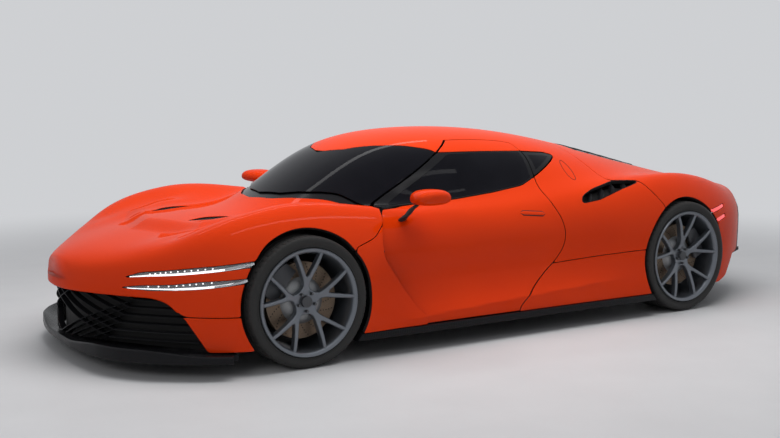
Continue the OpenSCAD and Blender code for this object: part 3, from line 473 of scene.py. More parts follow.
def gridOfBody(scooped):
    net = nets[scooped]
    spansU, spansV = net.shape[0] - 3, net.shape[1] - 3
    coarse = np.stack(np.meshgrid(np.linspace(0, spansU, spansU * 4 + 1), np.linspace(0, spansV, spansV * 4 + 1),
                                  indexing="ij"), -1)
    pos = bodySkin(coarse.reshape(-1, 2), scooped).reshape(*coarse.shape[:2], 3)
    alongU = np.linalg.norm(np.diff(pos, axis=0), axis=2).reshape(spansU, 4, -1).sum(1).max(1)
    alongV = np.linalg.norm(np.diff(pos, axis=1), axis=2).reshape(-1, spansV, 4).sum(2).max(0)
    edge = bodyTable["edge"]

    def ticks(lengths):
        runs = [np.linspace(k, k + 1, max(2, math.ceil(n / edge)), endpoint=False) for k, n in enumerate(lengths)]
        return np.concatenate(runs + [[len(lengths)]])
    us, vs = ticks(alongU), ticks(alongV)
    us[0] = 1e-4
    uv = np.stack(np.meshgrid(us, vs, indexing="ij"), -1).reshape(-1, 2)
    index = np.arange(len(us) * len(vs)).reshape(len(us), len(vs))
    a, b, c, d = index[:-1, :-1].ravel(), index[1:, :-1].ravel(), index[1:, 1:].ravel(), index[:-1, 1:].ravel()
    odd = (np.add.outer(np.arange(len(us) - 1), np.arange(len(vs) - 1)) % 2).ravel() == 1
    tri = np.concatenate([np.stack([a, b, c], 1)[odd], np.stack([a, c, d], 1)[odd], np.stack([a, b, d], 1)[~odd],
                          np.stack([b, c, d], 1)[~odd]])
    return {"uv": uv, "tri": tri, "pos": bodySkin(uv, scooped), "scooped": scooped}


def bodyNormal(uv, scooped):
    step = 0.004
    top = np.array([nets[scooped].shape[0] - 3, nets[scooped].shape[1] - 3]) - 1e-6
    ends = [np.clip(uv + np.array(d) * step, 1e-5, top) for d in ((1, 0), (-1, 0), (0, 1), (0, -1))]
    du = bodySkin(ends[0], scooped) - bodySkin(ends[1], scooped)
    dv = bodySkin(ends[2], scooped) - bodySkin(ends[3], scooped)
    return unit(np.cross(du, dv), 1e-12) * turnOut


turnOut = 1.0
probe = bodyNormal(np.array([[9.0, 3.0]]), False)[0]
turnOut = 1.0 if probe[1] * np.sign(bodySkin(np.array([[9.0, 3.0]]))[0, 1]) > 0 else -1.0
grids = {flag: gridOfBody(flag) for flag in (False, True)}
for grid in grids.values():
    if turnOut < 0:
        grid["tri"] = grid["tri"][:, ::-1]
print("stage: body surface,", len(grids[False]["uv"]), "points")


def shrunk(patch, keep):
    tri = patch["tri"][keep]
    used, inverse = np.unique(tri, return_inverse=True)
    return dict(patch, uv=patch["uv"][used], pos=patch["pos"][used], tri=inverse.reshape(-1, 3))


def cutAlong(patch, field):
    f = field(patch["pos"])
    f = np.where(np.abs(f) < 1e-7, 1e-7, f)
    tri, uv = patch["tri"], patch["uv"]
    over = (f > 0)[tri]
    count = over.sum(1)
    mixed = (count == 1) | (count == 2)
    if not mixed.any():
        return patch
    sub, sign = tri[mixed], over[mixed]
    alone = np.where(count[mixed] == 1, np.argmax(sign, 1), np.argmin(sign, 1))
    r = np.arange(len(sub))
    a, b, c = sub[r, alone], sub[r, (alone + 1) % 3], sub[r, (alone + 2) % 3]
    edges = np.sort(np.concatenate([np.stack([a, b], 1), np.stack([a, c], 1)]), 1)
    unique, inverse = np.unique(edges, axis=0, return_inverse=True)
    inverse = inverse.ravel() + len(uv)
    low, high, fLow, fHigh = uv[unique[:, 0]], uv[unique[:, 1]], f[unique[:, 0]], f[unique[:, 1]]
    for _ in range(3):
        gap = np.where(np.abs(fLow - fHigh) < 1e-12, 1e-12, fLow - fHigh)
        t = np.clip(fLow / gap, 0, 1)
        mid = low + (high - low) * t[:, None]
        g = field(bodySkin(mid, patch["scooped"]))
        same = (g > 0) == (fLow > 0)
        low, fLow = np.where(same[:, None], mid, low), np.where(same, g, fLow)
        high, fHigh = np.where(same[:, None], high, mid), np.where(same, fHigh, g)
    ab, ac = inverse[:len(sub)], inverse[len(sub):]
    fresh = np.concatenate([np.stack([a, ab, ac], 1), np.stack([ab, b, c], 1), np.stack([ab, c, ac], 1)])
    return dict(patch, uv=np.concatenate([uv, mid]), tri=np.concatenate([tri[~mixed], fresh]),
                pos=np.concatenate([patch["pos"], bodySkin(mid, patch["scooped"])]))


def rimEdges(tri):
    directed = np.concatenate([tri[:, [0, 1]], tri[:, [1, 2]], tri[:, [2, 0]]])
    key = np.sort(directed, 1)
    _, inverse, count = np.unique(key, axis=0, return_inverse=True, return_counts=True)
    return directed[count[inverse.ravel()] == 1]


def welded(patch, limit=0.0028):
    tri, pos = patch["tri"], patch["pos"]
    edges = np.unique(np.sort(np.concatenate([tri[:, [0, 1]], tri[:, [1, 2]], tri[:, [2, 0]]]), 1), axis=0)
    length = np.linalg.norm(pos[edges[:, 0]] - pos[edges[:, 1]], axis=1)
    onRim = np.zeros(len(pos), bool)
    onRim[rimEdges(tri).ravel()] = True
    target = np.arange(len(pos))

    def root(k):
        while target[k] != k:
            k = target[k]
        return k
    for k in np.argsort(length):
        if length[k] > limit:
            break
        a, b = root(edges[k, 0]), root(edges[k, 1])
        if a != b:
            if onRim[b] and not onRim[a]:
                a, b = b, a
            target[b] = a
    tri = np.array([root(k) for k in range(len(pos))])[tri]
    fine = (tri[:, 0] != tri[:, 1]) & (tri[:, 1] != tri[:, 2]) & (tri[:, 2] != tri[:, 0])
    tri = tri[fine]
    _, first = np.unique(np.sort(tri, 1), axis=0, return_index=True)
    return shrunk(dict(patch, tri=tri[np.sort(first)]), slice(None))


def zone(x=(-9, 9), y=(-9, 9), z=(-9, 9)):
    ranges = list(enumerate((x, y, z)))
    return lambda p: np.all([(p[:, k] > low) & (p[:, k] < high) for k, (low, high) in ranges], axis=0)


def asList(fields):
    return fields if isinstance(fields, list) else [fields]


def allBelow(fields, level, pos):
    return np.all([f(pos) < level for f in asList(fields)], axis=0)


def middles(patch):
    return patch["pos"][patch["tri"]].mean(1)


def patchOf(rules, near, scooped=False, also=None):
    # a rule cuts along one field or several at a level, and keeps what lies below (-1), above (1) or both (0)
    patch = shrunk(grids[scooped], near(middles(grids[scooped])))
    for fields, level, side in rules:
        for field in asList(fields):
            patch = cutAlong(patch, lambda pos, f=field, n=level: f(pos) - n)
    spots = middles(patch)
    good = also(spots) if also else np.ones(len(spots), bool)
    for fields, level, side in rules:
        if side:
            good &= allBelow(fields, level, spots) == (side < 0)
    return welded(shrunk(patch, good))


def shellOf(patch, depth, roll=0.0025, sunk=0.0, tilt=None):
    tri = patch["tri"]
    normal = bodyNormal(patch["uv"], patch["scooped"])
    pos = patch["pos"] - normal * sunk
    if tilt is not None:
        pos = pos + tilt(pos)
    n = len(pos)
    rim = rimEdges(tri)
    along = unit(pos[rim[:, 1]] - pos[rim[:, 0]])
    outward = np.zeros((n, 3))
    for side in (0, 1):
        np.add.at(outward, rim[:, side], np.cross(along, normal[rim[:, side]]))
    for _ in range(2):
        straight = unit(outward)
        outward = straight * 2
        np.add.at(outward, rim[:, 0], straight[rim[:, 1]])
        np.add.at(outward, rim[:, 1], straight[rim[:, 0]])
        outward -= normal * (outward * normal).sum(1)[:, None]
    outward = unit(outward)
    edge = np.unique(rim)
    slotOf = np.full(n, -1)
    slotOf[edge] = np.arange(len(edge))
    r = roll(pos[edge]) if callable(roll) else np.full(len(edge), roll)
    verts, turned, rings = [pos], [normal], [edge]
    for k, angle in enumerate((30, 60, 90)):
        s, c = math.sin(math.radians(angle)), math.cos(math.radians(angle))
        verts.append(pos[edge] + outward[edge] * (r * s)[:, None] - normal[edge] * (r * (1 - c))[:, None])
        turned.append(normal[edge] * c + outward[edge] * s)
        rings.append(n + k * len(edge) + np.arange(len(edge)))
    inner = n + 3 * len(edge)
    verts.append(pos - normal * depth)
    turned.append(-normal)
    turned = np.concatenate(turned)
    a, b = slotOf[rim[:, 0]], slotOf[rim[:, 1]]
    faces, normals, groups = [tri], [normal[tri].reshape(-1, 3)], [np.zeros(len(tri))]
    for first, second in zip(rings[:-1], rings[1:]):
        quad = np.stack([first[b], first[a], second[a], second[b]], 1)
        faces.append(quad)
        normals.append(turned[quad].reshape(-1, 3))
        groups.append(np.zeros(len(quad)))
    # walls down the shut lines and the back face take the second finish, which on painted panels is near-black
    # painted shade in the gaps
    wall = np.stack([rings[3][b], rings[3][a], inner + edge[a], inner + edge[b]], 1)
    faces += [wall, tri[:, ::-1] + inner]
    normals += [outward[edge][np.stack([b, a, a, b], 1)].reshape(-1, 3),
                turned[(tri[:, ::-1] + inner)].reshape(-1, 3)]
    groups += [np.ones(len(wall)), np.ones(len(tri))]
    return np.concatenate(verts), faces, np.concatenate(normals), np.concatenate(groups)


def panel(name, rules, near, depth, finishes, scooped=False, also=None, roll=0.0025, sunk=0.0, tilt=None, **rest):
    verts, faces, normals, groups = shellOf(patchOf(rules, near, scooped, also), depth, roll, sunk, tilt)
    return newPiece(name, verts, faces, finishes, groups, normals, **rest)


# shut lines and openings, as station and height or station and half width
seams = {"gap": 0.002, "roll": 0.0025, "doorGap": 0.0045, "hinge": (0.884, 0.929), "doorLength": 1.264,
         "skirtTop": 0.140, "arches": ((1.330, 0.330, 0.358, 0.009), (-1.370, 0.348, 0.376, 0)),
         "archTop": (0.56, 0.08), "doorFoot": 0.006, "noseLip": (1.93, 0.40, 0.013), "lampInner": 0.35}
rolled = seams["roll"]
lip = seams["gap"] + rolled
doorLip = seams["doorGap"] + rolled
doorFront = sidePoly([[.263, 0], [.263, 190], [.245, 228], [.201, 385], [.1656, 515], [.1656, 607], [.177, 694],
                      [.183, 745], [.392, 1036], [.51, 1200], [.9, 1200], [.9, 0]], 0.03)
doorRoof = planPoly([[.10, .50], [.38, .50], [.42, .462], [.58, .462], [.66, .50], [.90, .50], [.90, 2], [.10, 2]],
                    0.03)
rearTurn = polyField(rounded([(p * seams["doorLength"], z / 1000) for p, z in
                              [[0, 0], [.706, 0], [.706, 160], [.8035, 268], [.951, 407], [.992, 480], [1, 553],
                               [.9835, 641], [.953, 720], [.94, 795], [.967, 884], [1.013, 1010], [1.013, 1200],
                               [0, 1200]]], 0.04))


def doorRear(pos):
    return rearTurn(np.stack([np.hypot(pos[:, 0] - seams["hinge"][0], np.abs(pos[:, 1]) - seams["hinge"][1]),
                              pos[:, 2]], 1))


def doorFoot(pos):
    return seams["skirtTop"] + seams["doorFoot"] - pos[:, 2]


doorFields = [doorFront, doorRoof, doorRear, doorFoot]


def inDoor(pos, level):
    return allBelow(doorFields, level, pos)


def archField(k):
    # the front arches leave room at the top for the steered tyre
    x, z, r, room = seams["arches"][k]
    start, reach = seams["archTop"]
    return lambda pos: np.hypot(pos[:, 0] - x, pos[:, 2] - z) - r - room * smooth((pos[:, 2] - start) / reach)


frontArch, rearArch = archField(0), archField(1)
clamshell = sidePoly([[-1.2, 1300], [-1.2, 380], [-.70, 380], [-.649, 360], [-.592, 290], [0, 290], [.100, 290],
                      [.100, 580], [.1485, 622], [.177, 694], [.180, 760], [.21, 800], [.21, 1300]], 0.025)
screenBase = [[.048, 0], [.063, .2], [.099, .38], [.135, .52], [.168, .68], [.17, .80]]
screenHead = [[.382, .545], [.345, .49], [.29, .38], [.235, .2], [.212, 0]]
hoodRegion = planPoly([[-3, -.5], [-3, 3], [.20, 3], [.20, .85], [.178, .815]] + screenBase[::-1] + [[.045, -.5]],
                      0.04)
screenRegion = planPoly([[.045, -.5]] + screenBase + [[.25, .83], [.40, .64]] + screenHead + [[.205, -.5]], 0.03)
cowlRegion = planPoly([[.045, -.5]] + screenBase + [[.185, .80], [.183, .68], [.155, .52], [.119, .38], [.083, .2],
                                                    [.070, 0], [.068, -.5]], 0.02)
bumperRegion = sidePoly([[0, 120], [-.50, 120], [-.592, 290], [0, 290]], 0.012)
fenderRegion = sidePoly([[0, 0], [.32, 0], [.32, 720], [0, 720]], 0.01)
rearRegion = sidePoly([[.800, 1400], [.800, 840], [.876, 835], [.927, 677], [.95, 0], [3, 0], [3, 1400]], 0.03)
sillRegion = sidePoly([[.45, 382], [.602, 387], [.733, 407], [.839, 417], [1, 425], [1, 0], [.45, 0]], 0.02)
intakeShape = [[.690, 722], [.698, 762], [.733, 798], [.801, 836], [.853, 838], [.872, 828], [.809, 790], [.741, 738]]
intake = sidePoly(intakeShape, 0.03)
windowBand = sidePoly([[.12, 752], [.222, 757], [.300, 768], [.387, 781], [.479, 804], [.564, 834], [.618, 885],
                       [.718, 991], [.690, 1010], [.618, 1022], [.500, 1028], [.408, 1028], [.12, 1028]], 0.025)
windowGlass = sidePoly([[.222, 762], [.300, 773], [.387, 786], [.479, 809], [.564, 839], [.618, 890], [.713, 989],
                        [.690, 1004], [.618, 1016], [.500, 1022], [.408, 1018]], 0.025)
coverRegion = planPoly([[.86, -.5], [.86, .30], [1.0, .33], [1.30, .30], [1.45, .22], [1.45, -.5]], 0.04)
rearFoot = sidePoly([[3, 0], [1.40, 0], [1.74, 300], [3, 300]], 0.02)
lampUpper = sidePoly([[-.788, 468], [-.73, 496], [-.63, 512], [-.521, 529], [-.27, 556], [-.30, 528], [-.521, 503],
                      [-.70, 481]], 0.012)
lampLower = sidePoly([[-.803, 417], [-.739, 432], [-.63, 443], [-.521, 462], [-.31, 476], [-.34, 452], [-.521, 428],
                      [-.704, 411]], 0.012)
tailUpper = sidePoly([[1.29, 628], [1.52, 655], [1.52, 634], [1.33, 608]], 0.008)
tailLower = sidePoly([[1.35, 566], [1.51, 592], [1.51, 568], [1.39, 546]], 0.008)
grilleEdge = sidePoly([[-.50, 120], [-.592, 290], [-.649, 360], [-.70, 380], [-1.2, 380], [-1.2, 120]], 0.02)


def lampSide(pos):
    return seams["lampInner"] - np.abs(pos[:, 1])


ventShape = [(1.690, .280), (1.595, .362), (1.510, .382), (1.395, .366), (1.500, .286), (1.600, .252)]
ventPoly = polyField(rounded(ventShape, 0.015))


def ventField(pos):
    return np.where(pos[:, 2] > 0.45, ventPoly(np.stack([pos[:, 0], np.abs(pos[:, 1])], 1)), 1.0)


def aboveSkirt(pos):
    return pos[:, 2] - seams["skirtTop"]


def noseRoll(pos):
    # thick lip over the grille, small radius at the other seams
    ahead, below, thick = seams["noseLip"]
    return np.where((pos[:, 0] > ahead) & (pos[:, 2] < below), thick, rolled)


# panel depths, and the outer and inner finish of a panel; on painted panels the near-black inner finish of the walls
# and backs is painted shade, so the shut lines read dark
deep = {"skin": 0.028, "bumper": 0.024, "door": 0.026, "glass": 0.006, "frame": 0.020, "doorFrame": 0.030,
        "card": 0.040, "cowl": 0.012, "cover": 0.022, "slat": 0.007, "lamp": 0.026}
painted, blackened = ("orangePaint", "innerDark"), ("glossBlack", "innerDark")
# the pair for sunk pockets and the grille backing: near-black sheets that are painted shade at the backs of openings
glazed, paintedShade = ("tintedGlass", "tintedGlass"), ("innerDark", "innerDark")
leftRight = ((1, "left"), (-1, "right"))


def frontClamshell():
    panel("frontClamshell", [(clamshell, -lip, -1), (hoodRegion, -lip, -1), (frontArch, rolled, 1),
                             (ventField, lip, 1), (lampUpper, lip, 0), (lampLower, lip, 0), (doorFields, doorLip, 1)],
          zone(x=(0.6, 9)), deep["skin"], painted, roll=noseRoll, slot="paint", replaces=("front_clamshell",),
          also=lambda p: (np.minimum(lampUpper(p), lampLower(p)) > lip) | (lampSide(p) > 0))
    panel("bumperCorners", [(bumperRegion, -lip, -1), (frontArch, rolled, 1)],
          zone(x=(1.2, 9)), deep["bumper"], painted, slot="paint", replaces=("bumper_corners",))
    panel("fenderPanels", [(fenderRegion, -rolled, -1), (clamshell, lip, 1), (frontArch, rolled, 1),
                           (aboveSkirt, lip, 1), (doorFields, doorLip, 1)],
          zone(x=(0.4, 1.4)), deep["skin"], painted, slot="paint", replaces=("fender_panels",))


def cabinPanels():
    roofRegion = sidePoly([[.1, 0], [.1, 1400], [1, 1400], [1, 0]], 0.01)
    roofFront = sidePoly([[-1, 0], [-1, 1400], [.20, 1400], [.20, 780], [.32, 720], [.32, 0]], 0.01)
    panel("roofAndQuarters", [(roofRegion, -lip, 0), (rearRegion, lip, 1), (sillRegion, lip, 1),
                              (rearArch, rolled, 1), (screenRegion, lip, 1), (hoodRegion, lip, 1),
                              (roofFront, lip, 1), (intake, rolled, 1), (windowBand, lip, 1), (aboveSkirt, lip, 1),
                              (doorFields, doorLip, 1)],
          zone(x=(-1.5, 1.0)), deep["skin"], painted, slot="paint", replaces=("roof_and_quarters",))
    panel("sillPanels", [(sillRegion, -lip, -1), (aboveSkirt, lip, 1), (rearArch, rolled, 1),
                         (doorFields, doorLip, 1)],
          zone(x=(-1.5, 0.2), z=(-9, 0.5)), deep["skin"], painted, slot="paint", replaces=("sill_panels",))
    # a black frame 20 mm wide around each quarter window
    border, level, quarter = 0.02, 0.03, zone(x=(-0.8, 0), z=(0.6, 9))
    panel("quarterFrames", [(windowBand, -lip, -1), (windowBand, -border, 0), (doorFields, doorLip, 1),
                            (doorFields, level, 0)],
          quarter, deep["frame"], blackened, roll=0.0015, slot="black_trim",
          also=lambda p: (inDoor(p, level) | (windowBand(p) > -border)) & (screenRegion(p) > 0))
    panel("quarterGlass", [(windowBand, -border - 0.001, -1), (doorFields, level + 0.001, 1)],
          quarter, deep["glass"], glazed, roll=0.001, slot="glazing", replaces=("quarter_windows",))
    panel("windscreenGlass", [(screenRegion, -0.003, -1), (cowlRegion, 0.003, 1), (doorFields, doorLip, 1)],
          zone(x=(0.1, 1.4)), deep["glass"], glazed, roll=0.001, slot="glazing", replaces=("windscreen",))
    panel("screenCowl", [(cowlRegion, -0.001, -1), (doorFields, doorLip, 1)],
          zone(x=(0.6, 1.4)), deep["cowl"], blackened, roll=0.002, sunk=0.010, slot="black_trim")


cover = {"rim": 0.045, "start": .86, "count": 6, "pitch": 0.105, "width": 0.078, "slope": 0.32, "drop": 0.008}


def rearPanels():
    panel("rearClamshell", [(rearRegion, -lip, -1), (aboveSkirt, lip, 1), (rearArch, rolled, 1), (intake, rolled, 1),
                            (coverRegion, lip, 1), (rearFoot, lip, 1), (tailUpper, lip, 1), (tailLower, lip, 1)],
          zone(x=(-9, -0.7)), deep["skin"], painted, slot="paint", replaces=("rear_clamshell",))
    for name, field in (("tailLampUpper", tailUpper), ("tailLampLower", tailLower)):
        panel(name, [(field, -0.002, -1)], zone(x=(-9, -1.5)), deep["lamp"], ("lampRed", "innerDark"), roll=0.0015,
              sunk=0.004, slot="lamp_red", replaces=("tail_lamps",) if name == "tailLampUpper" else ())
    top = zone(x=(-9, -0.8), z=(0.7, 9))
    panel("coverRim", [(coverRegion, -lip, -1), (coverRegion, -cover["rim"], 1)], top, deep["cover"], blackened,
          slot="black_trim", replaces=("engine_cover",))
    for k in range(1, cover["count"] + 1):
        middle = stationX(cover["start"]) - k * cover["pitch"]

        def slat(pos, m=middle):
            return np.abs(pos[:, 0] - m) - cover["width"] / 2

        def drop(pos, m=middle):
            return np.stack([0 * pos[:, 0], 0 * pos[:, 0], (pos[:, 0] - m) * cover["slope"] - cover["drop"]], 1)
        panel(f"coverSlat{k}", [(slat, 0, -1), (coverRegion, 0.002 - cover["rim"], -1)], top, deep["slat"],
              ("satinBlack", "satinBlack"), roll=0.002, tilt=drop, slot="black_trim")


def doors():
    border = -0.024
    for sign, word in leftRight:
        tag = word.title()
        near = zone(x=(-0.7, 1.1), y=(0.3, 9) if sign > 0 else (-9, -0.3))
        rest = {"scooped": True, "body": "door_" + word}
        panel("doorSkin" + tag, [(doorFields, -rolled, -1), (windowBand, lip, 1)], near, deep["door"], painted,
              slot="paint", replaces=("door_" + word,), **rest)
        panel("doorFrame" + tag, [(doorFields, -rolled, -1), (doorFields, border, 0), (windowBand, -0.001, -1),
                                  (windowGlass, 0, 0)],
              near, deep["doorFrame"], blackened, roll=0.0015, slot="black_trim",
              also=lambda p: ~(inDoor(p, border) & (windowGlass(p) < 0)), **rest)
        panel("doorGlass" + tag, [(doorFields, border - 0.002, -1), (windowGlass, -0.002, -1)], near, deep["glass"],
              glazed, roll=0.001, slot="glazing", replaces=("door_glass_" + word,), **rest)
        # inner card, set back from the shut faces
        panel("doorCard" + tag, [(doorFields, -0.045, -1), (windowBand, 0.012, 1)], near, deep["card"],
              ("cabinTrim", "seatLeather"), roll=0.004, sunk=0.030, slot="cabin_trim", **rest)


frontClamshell()
cabinPanels()
rearPanels()
doors()
print("stage: panels, doors and glass")


# places on the surface, found by side view, plan or nose view
def findOn(points, axes, allowed, scooped=False):
    grid = grids[scooped]
    ok = allowed(grid["pos"])
    uvs, flat = grid["uv"][ok], grid["pos"][ok][:, axes]
    uv = np.array([uvs[np.argmin(((flat - q) ** 2).sum(1))] for q in np.asarray(points, float)])
    top = np.array([nets[scooped].shape[0] - 3, nets[scooped].shape[1] - 3]) - 1e-6
    for _ in range(6):
        here = bodySkin(uv, scooped)[:, axes]
        du = (bodySkin(np.clip(uv + [1e-3, 0], 1e-5, top), scooped)[:, axes] - here) / 1e-3
        dv = (bodySkin(np.clip(uv + [0, 1e-3], 1e-5, top), scooped)[:, axes] - here) / 1e-3
        miss = np.asarray(points, float) - here
        det = du[:, 0] * dv[:, 1] - du[:, 1] * dv[:, 0]
        det = np.where(np.abs(det) < 1e-9, 1e-9, det)
        stepU = (miss[:, 0] * dv[:, 1] - miss[:, 1] * dv[:, 0]) / det
        stepV = (du[:, 0] * miss[:, 1] - du[:, 1] * miss[:, 0]) / det
        uv = np.clip(uv + np.clip(np.stack([stepU, stepV], 1), -0.1, 0.1), 1e-4, top)
    return bodySkin(uv, scooped), bodyNormal(uv, scooped)


def onSide(points, scooped=False):
    return findOn(points, [0, 2], lambda p: p[:, 1] > 0.3, scooped)


def onTop(points):
    return findOn(points, [0, 1], lambda p: p[:, 2] > 0.5)


def sideLine(line, count):
    return onSide([(stationX(p), z / 1000) for p, z in alongLine(line, count)])


def alongLine(points, count):
    points = np.asarray(points, float)
    run = np.concatenate([[0], np.cumsum(np.linalg.norm(np.diff(points, axis=0), axis=1))])
    t = np.linspace(0, run[-1], count)
    return np.stack([np.interp(t, run, points[:, k]) for k in range(points.shape[1])], 1)


def outwardFaces(verts, faces):
    # turns a closed shape right side out by its volume
    total = 0
    for block in faces:
        p = verts[np.asarray(block)]
        for k in range(1, p.shape[1] - 1):
            total += np.einsum("ij,ij->", p[:, 0], np.cross(p[:, k], p[:, k + 1]))
    return faces if total > 0 else [np.asarray(b)[:, ::-1] for b in faces]


def sweep(path, ups, section, closed=False):
    # section points are (across, up) pairs, carried along the path
    path, ups = np.asarray(path, float), np.asarray(ups, float)
    section = np.asarray(section, float)
    count, m = len(path), section.shape[-2]
    ahead = np.roll(path, -1, 0) - np.roll(path, 1, 0) if closed else np.gradient(path, axis=0)
    ahead = unit(ahead)
    across = unit(np.cross(ahead, ups))
    up = np.cross(across, ahead)
    if section.ndim == 2:
        section = np.repeat(section[None], count, 0)
    verts = (path[:, None] + across[:, None] * section[:, :, :1] + up[:, None] * section[:, :, 1:]).reshape(-1, 3)
    ids = np.arange(count * m).reshape(count, m)
    if closed:
        ids = np.concatenate([ids, ids[:1]])
    a, b = ids[:-1], ids[1:]
    quads = np.stack([a, np.roll(a, -1, 1), np.roll(b, -1, 1), b], -1).reshape(-1, 4)
    faces = [quads]
    if not closed:
        first, last = len(verts), len(verts) + 1
        verts = np.concatenate([verts, [verts[:m].mean(0)], [verts[-m:].mean(0)]])
        k = np.arange(m)
        faces += [np.stack([np.full(m, first), (k + 1) % m, k], 1),
                  np.stack([np.full(m, last), ids[-1, k], ids[-1, (k + 1) % m]], 1)]
    return verts, outwardFaces(verts, faces)


def ringSection(radius, sides=8, flat=1.0):
    a = np.linspace(0, 2 * math.pi, sides, endpoint=False)
    return np.stack([np.cos(a) * radius, np.sin(a) * radius * flat], 1)


# one tree stamps a small solid on every point of a mesh, turned to its facing
def stampTree(kind):
    tree = bpy.data.node_groups.new("stamp" + kind, "GeometryNodeTree")
    face = tree.interface
    face.new_socket("Points", in_out="INPUT", socket_type="NodeSocketGeometry")
    radius = face.new_socket("Radius", in_out="INPUT", socket_type="NodeSocketFloat")
    depth = face.new_socket("Depth", in_out="INPUT", socket_type="NodeSocketFloat")
    sides = face.new_socket("Sides", in_out="INPUT", socket_type="NodeSocketInt")
    skin = face.new_socket("Finish", in_out="INPUT", socket_type="NodeSocketMaterial")
    face.new_socket("Geometry", in_out="OUTPUT", socket_type="NodeSocketGeometry")
    add, link = tree.nodes.new, tree.links.new
    start, end = add("NodeGroupInput"), add("NodeGroupOutput")
    if kind == "Bead":
        solid = add("GeometryNodeMeshUVSphere")
        link(start.outputs["Sides"], solid.inputs["Segments"])
        solid.inputs["Rings"].default_value = 6
    else:
        solid = add("GeometryNodeMeshCone")
        link(start.outputs["Sides"], solid.inputs["Vertices"])
        taper = add("ShaderNodeMath")
        taper.operation = "MULTIPLY"
        link(start.outputs["Radius"], taper.inputs[0])
        taper.inputs[1].default_value = 0.82
        link(taper.outputs[0], solid.inputs["Radius Top"])
        link(start.outputs["Depth"], solid.inputs["Depth"])
    link(start.outputs["Radius"], solid.inputs["Radius" if kind == "Bead" else "Radius Bottom"])
    facing = add("GeometryNodeInputNamedAttribute")
    facing.data_type = "FLOAT_VECTOR"
    facing.inputs["Name"].default_value = "facing"
    turn = add("FunctionNodeAlignRotationToVector")
    turn.axis = "Z"
    link(facing.outputs["Attribute"], turn.inputs["Vector"])
    copies = add("GeometryNodeInstanceOnPoints")
    link(start.outputs["Points"], copies.inputs["Points"])
    link(solid.outputs["Mesh"], copies.inputs["Instance"])
    link(turn.outputs["Rotation"], copies.inputs["Rotation"])
    real, dress = add("GeometryNodeRealizeInstances"), add("GeometryNodeSetMaterial")
    link(copies.outputs["Instances"], real.inputs["Geometry"])
    link(real.outputs["Geometry"], dress.inputs["Geometry"])
    link(start.outputs["Finish"], dress.inputs["Material"])
    link(dress.outputs["Geometry"], end.inputs["Geometry"])
    return tree, {"radius": radius.identifier, "depth": depth.identifier, "sides": sides.identifier,
                  "finish": skin.identifier}


stampTrees = {kind: stampTree(kind) for kind in ("Bead", "Stud")}


def stamp(name, kind, points, facings, radius, depth, sides, finish, body="car_body", slot=None):
    tree, ids = stampTrees[kind]
    dots = bpy.data.meshes.new(name + "Points")
    dots.from_pydata(np.asarray(points, float).tolist(), [], [])
    facing = dots.attributes.new("facing", "FLOAT_VECTOR", "POINT")
    facing.data.foreach_set("vector", np.asarray(facings, np.float32).ravel())
    carrier = bpy.data.objects.new(name + "Points", dots)
    scene.collection.objects.link(carrier)
    modifier = carrier.modifiers.new("stamp", "NODES")
    modifier.node_group = tree
    modifier[ids["radius"]] = float(radius)
    modifier[ids["depth"]] = float(depth)
    modifier[ids["sides"]] = int(sides)
    modifier[ids["finish"]] = mats[finish]
    mesh = bpy.data.meshes.new_from_object(carrier.evaluated_get(bpy.context.evaluated_depsgraph_get()))
    bpy.data.objects.remove(carrier)
    mesh.name = name
    mesh.set_sharp_from_angle(angle=math.radians(40))
    return adopt(mesh, name, body, slot)


def flipY(points):
    return np.asarray(points) * [1, -1, 1]


# headlamps: dark pockets, a row of light dots over a bright bar, and a bright blade at the outer end
headlamp = {
    "pocket": 0.026, "lens": 0.004, "barRadius": 0.0056, "barSink": 0.013, "dotRadius": 0.0040, "dotSink": 0.012,
    "archGap": 0.004, "blade": 0.007, "bladeSink": 0.010, "dotCounts": (11, 9),
    "taper": ([0, 0.25, 0.75, 1], [0.35, 0.9, 1.0, 0.5]),
    "bars": ([(-.776, 471), (-.715, 482), (-.63, 492), (-.521, 507.5), (-.42, 521), (-.335, 533), (-.295, 540)],
             [(-.788, 413.5), (-.73, 416), (-.63, 421.5), (-.521, 433), (-.44, 443.5), (-.36, 456), (-.335, 462)]),
    "dots": ([(-.705, 490), (-.63, 504.5), (-.521, 520), (-.47, 526)],
             [(-.715, 428), (-.63, 437), (-.521, 454), (-.48, 458.5)]),
    "blades": ([(-.42, 523), (-.36, 533), (-.30, 541), (-.285, 548)],
               [(-.47, 436), (-.40, 446), (-.35, 458), (-.325, 468)])}


def headlamps():
    outer = lambda p: (lampSide(p) < 0) & (frontArch(p) > headlamp["archGap"])
    nose = zone(x=(1.4, 9))
    for name, field in (("Upper", lampUpper), ("Lower", lampLower)):
        panel("lampPocket" + name, [(field, 0.001, -1)], nose, 0.004, blackened, also=outer, roll=0.001,
              sunk=headlamp["pocket"], slot="black_trim", replaces=("headlamps",) if name == "Upper" else ())
        panel("lampLens" + name, [(field, -0.0015, -1)], nose, 0.003, ("clearLens", "clearLens"), also=outer,
              roll=0.001, sunk=headlamp["lens"], slot="lamp_clear")
    bars, blades = Heap(), Heap()
    dots, facings = [], []
    for line, dotLine, count in zip(headlamp["bars"], headlamp["dots"], headlamp["dotCounts"]):
        pos, normal = sideLine(line, 40)
        size = headlamp["barRadius"] * np.interp(np.linspace(0, 1, 40), *headlamp["taper"])
        bars.mirrored(*sweep(pos - normal * headlamp["barSink"], normal,
                             np.stack([ringSection(s, 8, 0.75) for s in size])))
        pos, normal = sideLine(dotLine, count)
        spots = pos - normal * headlamp["dotSink"]
        dots += [spots, flipY(spots)]
        facings += [normal, flipY(normal)]
    for line in headlamp["blades"]:
        pos, normal = sideLine(line, 16)
        blades.mirrored(*sweep(pos - normal * headlamp["bladeSink"], normal, ringSection(headlamp["blade"], 8, 0.35)))
    bars.piece("lampBars", ("lampWhite",), slot="lamp_clear")
    blades.piece("lampBlades", ("brightMetal",), slot="wheel_alloy")
    stamp("lampDots", "Bead", np.concatenate(dots), np.concatenate(facings), headlamp["dotRadius"], 0.004, 10,
          "lampWhite", slot="lamp_clear")


